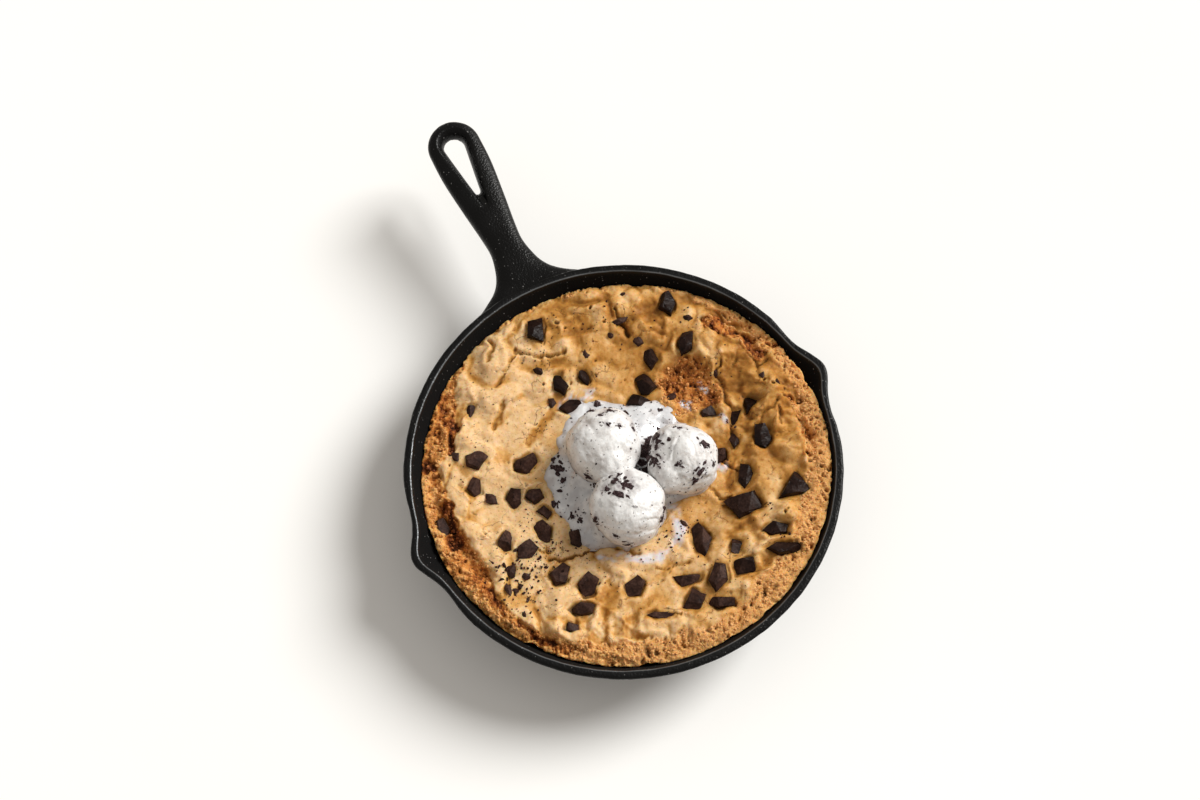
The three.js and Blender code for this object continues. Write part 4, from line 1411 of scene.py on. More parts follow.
    def top(self, u: Numbers, v: Numbers) -> Skin:
        """The fine top: its height and the numbers that colour it.

        Height = plain form + puffs x (1 - crumb) + crags x crumb + strokes + lips - moats
        round the chunks - holes.

        Args:
            u: first coordinates of the points.
            v: second coordinates of the points.

        Returns:
            The skin at each point.
        """
        spot = flat(u, v)
        radius = np.hypot(u, v)
        degrees = np.degrees(np.arctan2(v, u))
        warped_u = u + 1.5 * noise(spot, 6.0, 21) + 0.6 * noise(spot, 2.0, 22)
        warped_v = v + 1.5 * noise(spot, 6.0, 23) + 0.6 * noise(spot, 2.0, 24)
        fine = flat(warped_u, warped_v)
        warped = flat(u + 7.0 * noise(spot, 19.0, 25), v + 7.0 * noise(spot, 19.0, 26))
        crumb = self.torn(u, v)
        whole = 1.0 - crumb
        chunk = self.chunks.distance(u, v)

        lively = 0.4 + 0.6 * smooth(radius, 35.0, 85.0) + 0.1 * smooth(u, 30.0, 70.0)
        for calm in self.calm:
            lively *= 1.0 - 0.65 * dome(u, v, *calm)
        lumps = 5.0 * self.puffs(warped, 24.0, 31) + 3.0 * self.puffs(warped, 12.5, 32)
        lumps += 0.9 * self.puffs(fine, 6.0, 33)
        lumps += 0.25 * self.puffs(fine, 2.9, 35)
        lumps *= lively * (0.4 + 0.6 * smooth(chunk, 0.5, 6.0)) * (1.0 - 0.3 * smooth(-u, 20.0, 70.0))
        skin_grain = 0.10 * noise(spot, 2.4, 34)

        split = self.rift(u, v)
        crags = 2.0 * self.puffs(spot, 5.2, 41) + 1.3 * self.puffs(spot, 2.5, 44)
        crags *= 1.0 - 0.6 * smooth(u, -20.0, 60.0) * fade(split, 0.2, 0.6)
        crags += (0.7 + 1.1 * smooth(split, 0.0, 0.8)) * rough(spot, 9.0, 50, 3)

        edge = chunk + 0.6 * noise(spot, 2.6, 51)
        gap = 0.5 + 0.5 * np.clip(noise(spot, 8.0, 52) * 1.6, -1.0, 1.0)
        moat = bell(np.maximum(edge, 0.0), 0.7) * (0.1 + 0.9 * gap**2)
        lip = bell(edge - 2.8, 2.0) * np.clip(0.35 + 0.9 * noise(spot, 13.0, 53), -0.2, 1.0)
        under = fade(chunk, -2.0, -0.4)

        relief, marks, crease_shade_ridge_light, hole, milk = (np.zeros_like(u) for _ in range(5))
        uneven = 0.65 + 0.45 * noise(spot, 5.0, 55)
        for rise, width, stain, points in self.strokes:
            off = line_distance(warped_u, warped_v, points)
            near = bell(off, width * (uneven if width < 2.0 else 1.0))
            relief += rise * near
            if stain > 0.3:
                marks = np.maximum(marks, stain * near)
                relief += 0.5 * bell(off - 2.6 * width, 1.5 * width)
            else:
                # Creases are made browner as painted shade, ridges paler as a painted highlight
                crease_shade_ridge_light += stain * near
        marks *= 0.35 + 0.65 * smooth(noise(spot, 8.0, 84), -0.5, 0.2)

        for hole_u, hole_v, hole_r in self.holes:
            off = np.hypot(warped_u - hole_u, warped_v - hole_v) / hole_r
            hole = np.maximum(hole, fade(off, 0.55, 1.15))
        off, drawn = grains(fine, 5.4, 61)
        pores = fade(off, 0.25, 0.8) * (drawn > 0.86)
        pits = fade(off, 0.5, 1.7) * (drawn > 0.7)
        off, drawn = grains(fine, 2.7, 67)
        pits = np.maximum(pits, 0.7 * fade(off, 0.3, 1.0) * (drawn > 0.6)) * crumb

        folds = self.folds(radius + 4.0 * noise(spot, 7.0, 63), degrees + 2.0 * noise(spot, 11.0, 64))
        folds *= 0.95 + 0.4 * noise(spot, 10.0, 65)
        height = self.form(warped_u, warped_v) + lumps * whole + crags * crumb + skin_grain
        height += relief * (0.25 + 0.75 * whole) + 1.1 * lip * whole - 1.8 * moat - 2.0 * under
        height -= 2.4 * hole + 0.8 * pores + 1.8 * pits + 0.5 * folds**3 * whole
        rift = self.rift(warped_u, warped_v)
        height -= 1.2 * rift

        for width, points in self.films:
            off = line_distance(warped_u, warped_v, points) / width
            milk = np.maximum(milk, fade(off, 0.35, 1.15))
        milk *= smooth(rough(spot, 7.0, 71, 3) + 0.5 * noise(spot, 1.6, 72), -0.9, 0.3) * 0.9

        # Browner towards +u: partly the crust's own browning, partly painted shade on the side that
        # faces away from the light
        tone = 0.20 + 0.33 * smooth(u + 0.45 * v, -40.0, 50.0)
        tone += 0.06 * noise(spot, 30.0, 81) + 0.14 * rough(spot, 9.0, 82, 4)
        tone += 0.08 * fade(radius, 40.0, 75.0)
        for *patch, amount in self.patches:
            tone += amount * dome(u, v, *patch)
        near_chunk = 0.10 * bell(np.maximum(edge, 0.0), 1.6)
        # Painted shade and highlight: browner in the hollows between the puffs, paler on their tops
        tone -= whole * (0.16 * np.clip(lumps, 0.0, 1.3) + 0.40 * np.clip(lumps, -1.2, 0.0))
        # Painted shade: browner in the sunk cracks and creases
        tone -= 0.18 * whole * np.clip(relief, -1.6, 0.0)
        # Painted shade and highlight from the strokes' creases and ridges, and a painted highlight on
        # the raised lips round the chunks; near_chunk is a brown smear of chocolate
        tone += whole * (crease_shade_ridge_light - 0.12 * lip + near_chunk)
        tone += 0.5 * marks * whole
        tone = 0.72 * np.tanh(tone / 0.72)
        broken = dome(u, v, *self.patch)
        browned = smooth(-u, 20.0, 80.0)
        open_tone = 0.36 + 0.14 * browned + 0.40 * broken + 0.50 * rift
        # Painted shade and highlight: the open crumb is browner in its hollows and paler on its lumps
        open_tone -= 0.20 * np.clip(crags, -1.5, 1.8)
        # Painted shade: browner in the pits of the open crumb
        open_tone += 0.26 * pits - 0.10 * smooth(-v + 0.2 * u, 70.0, 118.0)
        open_tone += 0.14 * noise(spot, 14.0, 83) - 0.12 * smooth(u - 0.4 * v, 20.0, 100.0)
        # Painted shade: browner in the creases of the pleats at the front
        tone = tone + (open_tone - tone) * crumb + 0.30 * folds**2 * whole
        # Scorched crust in the open crumb and the splits, shown only in the crumb's low parts, so the
        # darkening there is also painted shade in the hollows
        scorch_and_shade = 0.18 + 0.2 * browned + 0.72 * np.maximum(rift, broken)
        scorch_and_shade = crumb * smooth(-crags, -0.2, 1.1) * scorch_and_shade
        scorch_and_shade = np.maximum(scorch_and_shade, 0.95 * rift * smooth(-crags, -0.7, 0.9))
        # The moats round the chunks are darkened: chocolate stain, with painted shade in the gap
        stain = moat * (0.15 + 0.65 * gap)
        # Painted shade darkens the holes, pores and pits; marks darken the cracks
        dark = np.maximum.reduce([0.85 * marks, 0.8 * hole, 0.6 * pores, stain, scorch_and_shade, 0.5 * pits])
        return Skin(height, np.clip(tone, 0, 1), crumb, np.clip(dark, 0, 1), np.clip(milk, 0, 1))

    def height(self, u: Numbers, v: Numbers) -> Numbers:
        """Height of the fine top."""
        return self.top(u, v).height

    def disc(self) -> tuple[Numbers, Numbers]:
        """An even grid on the disc, from a square grid.

        The square's rings become the disc's rings: a point's distance is the larger of its
        two coordinates, and their ratio turns it by up to an eighth of a turn.

        Returns:
            Shares of the edge radius, and angles.
        """
        side = np.linspace(-1.0, 1.0, self.grid + 1)
        a, b = np.meshgrid(side, side)
        wide = np.abs(a) > np.abs(b)
        reach = np.where(wide, a, b)
        ratio = np.where(wide, b, a) / np.where(reach == 0.0, 1.0, reach)
        turn = np.where(wide, ratio, 2.0 - ratio) * np.pi / 4 + np.where(reach < 0, np.pi, 0.0)
        return np.abs(reach) ** 0.8, turn

    def build(self) -> None:
        """Lays the top over the disc, and closes it with a side and an underside."""
        share, angle = self.disc()
        rim = flat(*polar(1.0, angle)) * self.skillet.rim_r
        ragged = 0.25 + 0.8 * noise(rim, 9.0, 101) + 0.6 * noise(rim, 3.0, 102)
        drawn_in = np.clip(ragged, 0.0, 3.0) * smooth(share, 0.95, 1.0)
        u, v = polar(self.edge_radius(angle) * share - drawn_in, angle)
        skin = self.top(u, v)
        surface = np.stack([u, v, skin.height], axis=-1)
        normal = np.cross(np.gradient(surface, axis=1), np.gradient(surface, axis=0))
        steep = np.hypot(normal[..., 0], normal[..., 1]) / np.linalg.norm(normal, axis=-1)
        # Painted shade: the skin is made browner the steeper it is
        browner = self.slope_shade_strength * smooth(steep, 0.25, 0.9) * (1.0 - skin.crumb)
        tone = skin.tone + browner * (0.75 - skin.tone)
        rows = self.grid + 1
        index = np.arange(rows * rows).reshape(rows, rows)
        loop = np.concatenate([index[0, :-1], index[:-1, -1], index[-1, :0:-1], index[:0:-1, 0]])
        points = [surface.reshape(-1, 3)]
        faces = [quads(rows, rows, closed=False)]
        bearing = angle.ravel()[loop]
        upper = loop
        total = rows * rows
        for radius, z in self.skillet.floor_round(self.wall_gap, 3)[::-1]:
            ring = np.stack([*polar(radius, bearing), z + 0 * bearing], axis=-1)
            lower = total + np.arange(len(loop))
            faces.append(np.stack([upper, lower, np.roll(lower, -1), np.roll(upper, -1)], -1))
            points.append(ring)
            upper = lower
            total += len(loop)
        points.append(np.array([[0.0, 0.0, self.skillet.floor_z + self.wall_gap]]))
        faces.append(np.stack([np.full(len(loop), total), np.roll(upper, -1), upper], axis=-1))
        mesh = make_mesh("cookie", to_part(np.concatenate(points)), faces)
        rest = len(mesh.vertices) - rows * rows
        fields = {"tone": (np.clip(tone, 0.0, 1.0), 0.8), "crumb": (skin.crumb, 1.0),
                  "dark": (skin.dark, 0.3), "milk": (skin.milk, 0.0)}
        for name, (values, below) in fields.items():
            paint(mesh, **{name: np.concatenate([values.ravel(), np.full(rest, below)])})
        add_piece("baked_cookie", mesh, self.finish, Slot.COOKIE, "cookie")


@dataclass
class Chips:
    """Small chips of chocolate baked into the skin."""

    cookie: Cookie
    proud: float = 1.3
    lift: float = 0.15  # of a chip's middle over the plain form
    finish: DarkChocolate = DarkChocolate()

    # u, v, length, width and turn in degrees.
    rows: Rows = (
        (0.5, 112, 8, 5, 80), (-2.5, 94, 13, 5, 115), (-7.5, 86, 6, 5, 30),
        (-51.5, 63, 7, 5, 50), (-43.5, 43, 7, 6, 10), (39.5, 95, 6, 5, 90),
        (56.5, 60, 6, 4, 20), (84.5, 57, 7, 5, 150), (92.5, 51, 6, 5, 20),
        (35.5, -34, 6, 5, 60), (-75.5, -60, 7, 6, 20), (-65.5, -65, 9, 7, 0),
        (-56.5, -67, 6, 6, 70), (-66.5, -76, 8, 5, 20), (-38.5, -83, 7, 5, 0),
        (-56.5, -91, 6, 4, 30), (-22.5, 72, 9, 7, 40), (-99.5, 6.5, 7, 6, 80),
        (9.5, 82.5, 8, 7, 30), (29.5, 47, 9, 6, 120), (53, 68, 7, 6, 60),
        (-78, -19, 9, 7, 20))

    def build(self) -> None:
        """Lays a jagged flake at each chip's place."""
        u, v, length, width, turn = np.array(self.rows).T
        z = self.cookie.form(u, v) + self.lift
        sizes = np.stack([length / 2, width / 2, 1.5 * self.proud + 0 * u], axis=-1)
        lean = 0.12 * flat(np.sin(u), np.cos(v))
        turns = upright_turns((0.0, 0.0, 1.0) + lean, np.radians(turn))
        mesh = scatter("baked_chips", np.stack([u, v, z], -1), sizes, turns, 501, 0.34)
        add_piece("baked_in_chips", mesh, self.finish, Slot.CHOCOLATE, "cookie")


@dataclass
class Crumbs:
    """Loose crumbs: dark ones of chocolate, and toasted ones on the open crumb."""

    cookie: Cookie
    dark_finish: DarkChocolate = DarkChocolate()
    crust_finish: BakedDough = BakedDough(title="toasted_crumbs", crumb_only=True)

    # Clusters of dark crumbs: u, v, spread, how many, and half size of the largest.
    clusters: Rows = (
        (-62, -66, 13, 70, 1.7), (-64, -79, 9, 24, 1.2), (-50, -58, 10, 40, 1.0),
        (-41, -51, 9, 30, 0.9), (-53, -80, 10, 30, 1.0), (-57, -30, 6, 12, 0.9),
        (-49, 28, 5, 16, 0.6), (-54, 74, 6, 20, 0.9), (-47, 68, 4, 12, 0.5),
        (-38, -68, 8, 22, 0.7), (-14, -70, 6, 12, 0.8), (-100, -8, 5, 5, 0.9),
        (-93, 20, 10, 10, 0.6), (30, -46, 9, 30, 0.8), (38, -36, 6, 16, 1.0),
        (10, -55, 9, 14, 0.6), (-20, -52, 7, 16, 0.6), (66, 30, 7, 14, 1.2),
        (50, 60, 12, 26, 0.8), (-12, 95, 14, 22, 0.8), (-28, 58, 12, 18, 0.8),
        (85, -27, 5, 10, 0.8), (92, -46, 6, 10, 0.8), (62, -60, 14, 20, 0.6),
        (-84, 44, 8, 8, 0.6), (-44, 92, 10, 16, 0.7), (40, 100, 14, 12, 0.7))
    sprinkled: int = 340
    sprinkled_r: float = 112.0
    dark_r: float = 116.0  # no dark crumb lies further out
    toasted: int = 3600
    toasted_r: float = 121.0

    def dark_spots(self, source: np.random.Generator) -> tuple[Numbers, Numbers]:
        """Places and half sizes of the dark crumbs, clustered and sprinkled."""
        places, sizes = [], []
        for u, v, spread, count, largest in self.clusters:
            places.append(np.array([u, v]) + source.normal(size=(count, 2)) * spread * 0.6)
            sizes.append(0.3 + (largest - 0.3) * source.random(count) ** 2.2)
        turn = source.uniform(0.0, TURN, self.sprinkled)
        reach = self.sprinkled_r * np.sqrt(source.random(self.sprinkled))
        places.append(np.stack(polar(reach, turn), axis=-1))
        sizes.append(0.22 + 0.4 * source.random(self.sprinkled) ** 3)
        return np.concatenate(places), np.concatenate(sizes)

    def build(self, shore: Callable[[Numbers, Numbers], Numbers]) -> None:
        """Scatters both kinds over the cookie.

        Args:
            shore: tells how far outside the melted pool a point lies.
        """
        source = np.random.default_rng(601)
        places, size = self.dark_spots(source)
        kept = np.hypot(*places.T) < self.dark_r
        kept &= shore(*places.T) > 0.5
        kept &= self.cookie.chunks.distance(*places.T) > 0.3
        places, size = places[kept], size[kept]
        stretch = source.uniform(0.6, 1.3, (len(size), 3)) * (1.2, 1.0, 0.7)
        z = self.cookie.height(*places.T) + 0.25 * size
        mesh = scatter("dark_crumbs", np.column_stack([places, z]), size[:, None] * stretch,
                       random_turns(len(size), source), 602)
        add_piece("chocolate_crumbs", mesh, self.dark_finish, Slot.CHOCOLATE)

        tries = 12 * self.toasted
        turn = source.uniform(0.0, TURN, tries)
        reach = self.toasted_r * np.sqrt(source.random(tries))
        u, v = polar(reach, turn)
        kept = self.cookie.torn(u, v) > source.uniform(0.45, 1.0, tries)
        kept &= self.cookie.chunks.distance(u, v) > 0.2
        kept &= reach < self.cookie.edge_radius(turn) - 2.2
        kept = np.flatnonzero(kept)[:self.toasted]
        u, v = u[kept], v[kept]
        size = 0.28 + 0.75 * source.random(len(u)) ** 3.5
        skin = self.cookie.top(u, v)
        places = np.stack([u, v, skin.height + 0.2 * size], axis=-1)
        stretch = source.uniform(0.7, 1.3, (len(u), 3))
        mesh = scatter("toasted_crumbs", places, size[:, None] * stretch,
                       random_turns(len(u), source), 603)
        tone = np.clip(skin.tone + source.uniform(-0.25, 0.2, len(u)), 0.0, 1.0)
        paint(mesh, tone=np.repeat(tone, len(mesh.vertices) // len(u)))
        add_piece("toasted_crumbs", mesh, self.crust_finish, Slot.COOKIE)


# ---- Ice cream ----


@dataclass
class Scoop:
    """A hand-made ball of ice cream whose foot spreads where it has sunk."""

    number: int
    u: float
    v: float
    z: float
    radius: float
    lump: float = 0.022
    flare: float = 0.09
    fold_share: float = 0.6  # of the heights in folds
    bridge_width: float = 0.16
    # Rolled lips: compass and lift in degrees, offset as a share of the radius, height.
    folds: Rows = ()
    bridges: tuple[Pair, ...] = ()  # cream that leans on another scoop: compass and rise
    foot_z: float = 33.5  # where the ball is cut flat, hidden in the cream
    rows: int = 150
    columns: int = 230
    finish: FrozenCream = FrozenCream()

    @property
    def centre(self) -> Numbers:
        """The ball's middle in the food's axes."""
        return np.array([self.u, self.v, self.z])

    def surface(self, way: Numbers) -> Numbers:
        """Points of the surface along directions from the middle.

        Reach = radius x (1 + lumps) + a rolled lip + torn grain, and the foot is spread.

        Args:
            way: unit directions.

        Returns:
            Points in the food's axes.
        """
        x, y, z = np.moveaxis(way, -1, 0)
        index = self.number - 1
        lumps = np.sin(4.1 * x + index) * np.sin(3.7 * y + 2 * index)
        lumps += 0.6 * np.sin(6.3 * z + 2.9 * x + index)
        here = way * self.radius
        bend = 0.20 * noise(here, 14.0, 701 + index) + 0.05 * noise(here, 5.0, 705 + index)
        lips = np.zeros_like(x)
        for compass, lift, offset, height in self.folds:
            height = self.fold_share * height
            turn, up = math.radians(compass), math.radians(lift)
            side = x * math.cos(turn) * math.cos(up) + y * math.sin(turn) * math.cos(up)
            over = side + z * math.sin(up) - offset + bend
            height = height * smooth(noise(here + 31.0 * lift, 15.0, 707), -0.35, 0.25)
            lips += height * (smooth(over, 0.0, 0.10) - smooth(over, 0.10, 0.5))
            lips -= 0.3 * height * bell(over + 0.02, 0.05)
        torn = smooth(noise(here, 12.0, 721 + index), -0.2, 0.4)
        grain = 0.75 * noise(here, 10.0, 711 + index) + 0.25 * noise(here, 4.5, 715 + index)
        grain += (0.08 + 0.32 * torn) * rough(here, 3.6, 731 + index, 3)
        for compass, rise in self.bridges:
            turn = math.radians(compass)
            toward = 0.94 * (x * math.cos(turn) + y * math.sin(turn)) + 0.34 * z
            grain += rise * bell(1.0 - toward, self.bridge_width)
        foot = self.flare * smooth(-z, 0.30, 0.75)
        reach = self.radius * (1 + self.lump * lumps) + lips + grain
        out = reach * (1 + foot)
        return self.centre + np.stack([x * out, y * out, z * reach], axis=-1)

    def build(self, bits: "ScoopBits") -> None:
        """A grid of latitudes and longitudes, closed at both poles, stained by its bits and darkened
        on its low side as painted shade.
        """
        down = np.linspace(np.pi, 0.0, self.rows)[:, None]
        turn = around(self.columns)[None, :]
        points = self.surface(np.stack([*polar(np.sin(down), turn), np.cos(down) + 0 * turn], axis=-1))
        points[..., 2] = np.maximum(points[..., 2], self.foot_z)
        mesh = make_mesh(f"scoop_{self.number}", to_part(points), [quads(self.rows, self.columns)])
        close_poles(mesh)
        spots = to_food(read_points(mesh)) - self.centre
        stain = smooth(noise(spots, 8.0, 761 + self.number), 0.25, 0.75) * 0.3
        # away and low pick out each scoop's lower side, away from the light, for painted shade
        away = spots @ (-0.6, -0.35, -0.72) / self.radius  # down and off the light's side
        low = smooth(away + 0.18 * rough(spots, 7.0, 773, 3), 0.35, 1.0)
        ragged = 0.55 + 0.6 * rough(spots, 2.6, 771, 3)
        halo = bits.stain(self.number - 1, self.radius, unit(spots)) * ragged
        # stain: cream browned by the cookie at random, plus painted shade as 0.75 x low
        paint(mesh, stain=np.clip(stain + 0.75 * low, 0.0, 1.0), smear=np.clip(0.8 * halo, 0.0, 1.0))
        add_piece(f"ice_cream_scoop_{self.number}", mesh, self.finish, Slot.ICE_CREAM,
                  f"scoop_{self.number}")


@dataclass
class ScoopBits:
    """Pieces of cocoa cookie that stand out of the scoops."""

    specks: int = 240  # small flakes on each scoop
    flakes: int = 18  # round each large piece
    finish: CookieBits = CookieBits()

    # Scoop, compass and height in degrees, length, width, spin in degrees.
    large: Rows = (
        (0, 75, 40, 6, 3, 20), (0, -112, 12, 6, 4, 0), (1, 150, 30, 11, 6, 70),
        (1, -172, 24, 9, 6, 90), (1, -50, 42, 9, 5, 20), (1, 20, 55, 7, 5, 0),
        (2, 100, 62, 14, 6, 60), (2, 150, 48, 6, 4, 0), (2, -20, 12, 6, 4, 80),
        (1, 168, 38, 8, 4, 60), (1, -160, 40, 7, 3.5, 80), (1, -70, 30, 5, 3, 10),
        (0, 110, 25, 6, 3, 0), (0, 20, 30, 4, 2.5, 40), (0, -60, 15, 6, 3, 10),
        (2, 120, 50, 5, 3.5, 30), (2, 85, 66, 5, 3, 50), (2, -5, 20, 4, 3, 60),
        (2, -155, 20, 7, 3, 80), (1, 100, 45, 5, 3, 20), (0, 60, 72, 4, 2, 50),
        (0, 30, 58, 4, 2, 50), (0, 95, 52, 4, 2, 20), (1, -110, 62, 4, 3, 0),
        (1, -20, 30, 4, 3, 30), (2, -90, 5, 6, 2, 0), (2, -110, 20, 4, 2, 0))

    def ways(self, index: int) -> tuple[Numbers, Numbers]:
        """Directions of one scoop's large pieces, and their rows of the table."""
        rows = np.array([row for row in self.large if row[0] == index])
        turn, lift = np.radians(rows[:, 1:3]).T
        return np.stack([*polar(np.cos(lift), turn), np.sin(lift)], axis=-1), rows

    def stain(self, index: int, radius: float, way: Numbers) -> Numbers:
        """How far the cream round the large pieces has taken up their colour.

        Args:
            index: the scoop's number in the table.
            radius: the scoop's radius.
            way: unit directions from the scoop's middle.

        Returns:
            A bell round each piece, at most 1.
        """
        best = np.zeros(len(way))
        for middle, row in zip(*self.ways(index)):
            off = np.linalg.norm(way - middle, axis=-1) * radius
            best = np.maximum(best, bell(off, 0.62 * row[3]))
        return best

    def build(self, scoops: tuple["Scoop", ...]) -> None:
        """Lays flakes on the balls: round the large pieces, and small ones by chance."""
        source = np.random.default_rng(801)
        places, ways, sizes, spins = [], [], [], []
        for index, scoop in enumerate(scoops):
            middles, rows = self.ways(index)
            count = len(rows) * self.flakes
            first = np.tile(np.arange(self.flakes) == 0, len(rows))
            length, width, spin = (np.repeat(rows[:, k], self.flakes) for k in (3, 4, 5))
            stray = source.normal(size=(count, 3)) * (0.26 * length / scoop.radius)[:, None]
            way = np.repeat(middles, self.flakes, axis=0) + stray * ~first[:, None]
            share = np.where(first, 0.85, 0.12 + 0.5 * source.random(count) ** 2)
            half = [length / 2 * share, width / 2 * np.maximum(share, 0.16), 0.35 + 0.6 * share]
            drift = unit(source.normal(size=(self.specks, 3)))
            drift[:, 2] = np.abs(drift[:, 2]) - 0.25
            small = 0.20 + 0.8 * source.random(self.specks) ** 3.5
            way = unit(np.concatenate([way, drift]))
            places.append(scoop.surface(way) - 0.2 * way)
            ways.append(way)
            sizes.append(np.concatenate([np.stack(half, axis=-1),
                                         small[:, None] * (1.0, 0.7, 0.5)]))
            spins.append(np.concatenate([np.radians(spin) + source.normal(size=count) * 0.5,
                                         source.uniform(0, np.pi, self.specks)]))
        turns = upright_turns(np.concatenate(ways), np.concatenate(spins))
        mesh = scatter("cookie_bits", np.concatenate(places), np.concatenate(sizes), turns, 802, 0.42)
        add_piece("cookie_bits", mesh, self.finish, Slot.ICE_CREAM)


@dataclass
class Pool:
    """The melted ice cream round the scoops, lying over the cookie."""

    cookie: Cookie
    scoops: tuple[Scoop, ...]
    centre: Pair = (2.0, -2.0)
    thick: float = 2.3
    rows: int = 90
    columns: int = 420
    flakes: int = 11  # round each larger piece
    specks: int = 260  # small flakes
    lift: float = 0.35  # over the cookie's plain form
    shore_dip: float = 1.1
    sunk: float = 1.4  # the underside, below the plain form
    bank_rise: float = 8.5  # against a scoop
    bank_reach: float = 5.2
    soft_limit: float = 6.0  # above which banks and mounds grow ever less
    finish: MeltedCream = MeltedCream()
    bits_finish: CookieBits = CookieBits()

    outline: tuple[Pair, ...] = (
        (-46, 1), (-45, -12), (-43, -23), (-34, -36), (-23, -47), (-10, -49), (8, -48),
        (21, -40), (27, -24), (38, -18), (50, -13), (56, 2), (53, 19), (43, 26), (33, 31),
        (28, 42), (20, 46), (6, 42), (-10, 43), (-22, 46), (-31, 43), (-36, 30), (-39, 12))

    # Cream that has sunk between the scoops: u, v, radius and height.
    mounds: Rows = (
        (12, -9, 9, 9), (-7, -14, 8, 9), (14, 8, 8, 9), (-18, -26, 9, 7), (24, -22, 7, 4.5),
        (44, -14, 8, 3), (10, 24, 10, 5), (-26, -10, 8, 4))

    # Larger dark pieces afloat: u, v, length, width, turn.
    bits: Rows = (
        (-39, 0, 9, 6, 60), (-41, -22, 5, 3, 20), (-16, 42, 6, 3, 0), (-5, 35, 4, 3, 30),
        (-36, -8, 4, 2.5, 0), (-38, -14, 4, 2, 70), (-30, -30, 4, 2.5, 40), (-42, 6, 4, 3, 10),
        (-8, 38, 5, 2.5, 20), (22, 38, 3, 2, 0), (44, -14, 7, 2, 20), (50, -9, 3, 2, 0),
        (-20, 36, 5, 2.5, -20), (23, 21, 7, 4, 50), (19, 16, 9, 6, 60), (16, 11, 9, 7, 60),
        (13, 6, 9, 7, 80), (12, 1, 8, 6, 90), (14, -4, 6, 4.5, 110), (16, 15, 4, 3, 30),
        (12, 10, 3, 2, 0), (-24, -6, 6, 4, 40), (-16, -12, 5, 4, 0), (-25, -33, 4, 3, 50))

    def reach(self, angle: Numbers) -> Numbers:
        """Distance of the shore from the pool's middle, through the outline's points."""
        points = np.array(self.outline, float) - self.centre
        turns = np.arctan2(points[:, 1], points[:, 0])
        order = np.argsort(turns)
        turns, far = turns[order], np.hypot(*points[order].T)
        turns = np.concatenate([turns - TURN, turns, turns + TURN])
        fine = np.linspace(-TURN, TURN, 1440)
        window = np.hanning(25)
        even = np.convolve(np.interp(fine, turns, np.tile(far, 3)), window / window.sum(), "same")
        return np.interp((angle + np.pi) % TURN - np.pi, fine, even)

    def outside(self, u: Numbers, v: Numbers) -> Numbers:
        """How far beyond the shore a point lies, below 0 in the pool."""
        du, dv = u - self.centre[0], v - self.centre[1]
        return np.hypot(du, dv) - self.reach(np.arctan2(dv, du))

    def place(self, far: Numbers, angle: Numbers) -> tuple[Numbers, Numbers]:
        """u and v of points at a distance and an angle from the pool's middle."""
        across, up = polar(far, angle)
        return self.centre[0] + across, self.centre[1] + up

    def level(self, u: Numbers, v: Numbers, share: Numbers) -> Numbers:
        """Height of the cream: the skin + a thickness that thins to the shore + banks.

        Args:
            u: first coordinates.
            v: second coordinates.
            share: distance from the middle as a share of the shore's.

        Returns:
            The height. At the shore it dips below the skin.
        """
        spot = flat(u, v)
        full = np.sqrt(np.clip(1.0 - np.clip(share, 0, 1) ** 7, 0.0, 1.0))
        lumps = 0.35 * rough(spot, 9.0, 901, 3) + 0.15 * noise(spot, 3.0, 905)
        bank = np.zeros_like(u)
        uneven = 0.8 + 0.45 * noise(spot, 16.0, 907)
        for scoop in self.scoops:
            off = np.hypot(u - scoop.u, v - scoop.v) - 0.84 * scoop.radius
            bank += self.bank_rise * uneven * bell(np.maximum(off, 0.0), self.bank_reach)
        for *mound, rise in self.mounds:
            bank += rise * dome(u, v, *mound)
        limit = self.soft_limit
        bank = np.minimum(bank, limit + limit * np.tanh((bank - limit) / limit))
        height = self.cookie.form(u, v) + self.lift + (self.thick + lumps + bank) * full
        return height - self.shore_dip * (1 - full)

    def build(self) -> None:
        """A thin closed sheet of cream with a rounded shore, and the pieces afloat."""
        angle = around(self.columns)[None, :]
        share = np.linspace(0.0, 1.0, self.rows)[:, None] ** 0.8 * 1.02
        way = flat(*polar(1.0, angle)) * 40.0
        ragged = 1.0 + (1.8 * noise(way, 6.0, 911) + 0.9 * noise(way, 2.4, 912)) / 45.0
        u, v = self.place(self.reach(angle) * ragged * share, angle)
        upper = np.stack([u, v, self.level(u, v, share + 0 * angle)], axis=-1)
        lower = np.stack([u, v, self.cookie.form(u, v) - self.sunk], axis=-1)[::-1]
        points = np.concatenate([upper, lower])
        mesh = make_mesh("pool", to_part(points), [quads(len(points), self.columns)])
        patchy = smooth(rough(flat(u, v), 9.0, 915, 3), 0.05, 0.8) * smooth(share, 0.6, 0.85)
        thin = np.maximum(smooth(share + 0 * u, 0.90, 1.0), 0.6 * patchy)
        paint(mesh, thin=0.6 * np.concatenate([thin, np.ones_like(u)]))
        close_poles(mesh)
        add_piece("melted_pool", mesh, self.finish, Slot.MELT, "melted_ice_cream")
        self.float_bits(np.random.default_rng(921))

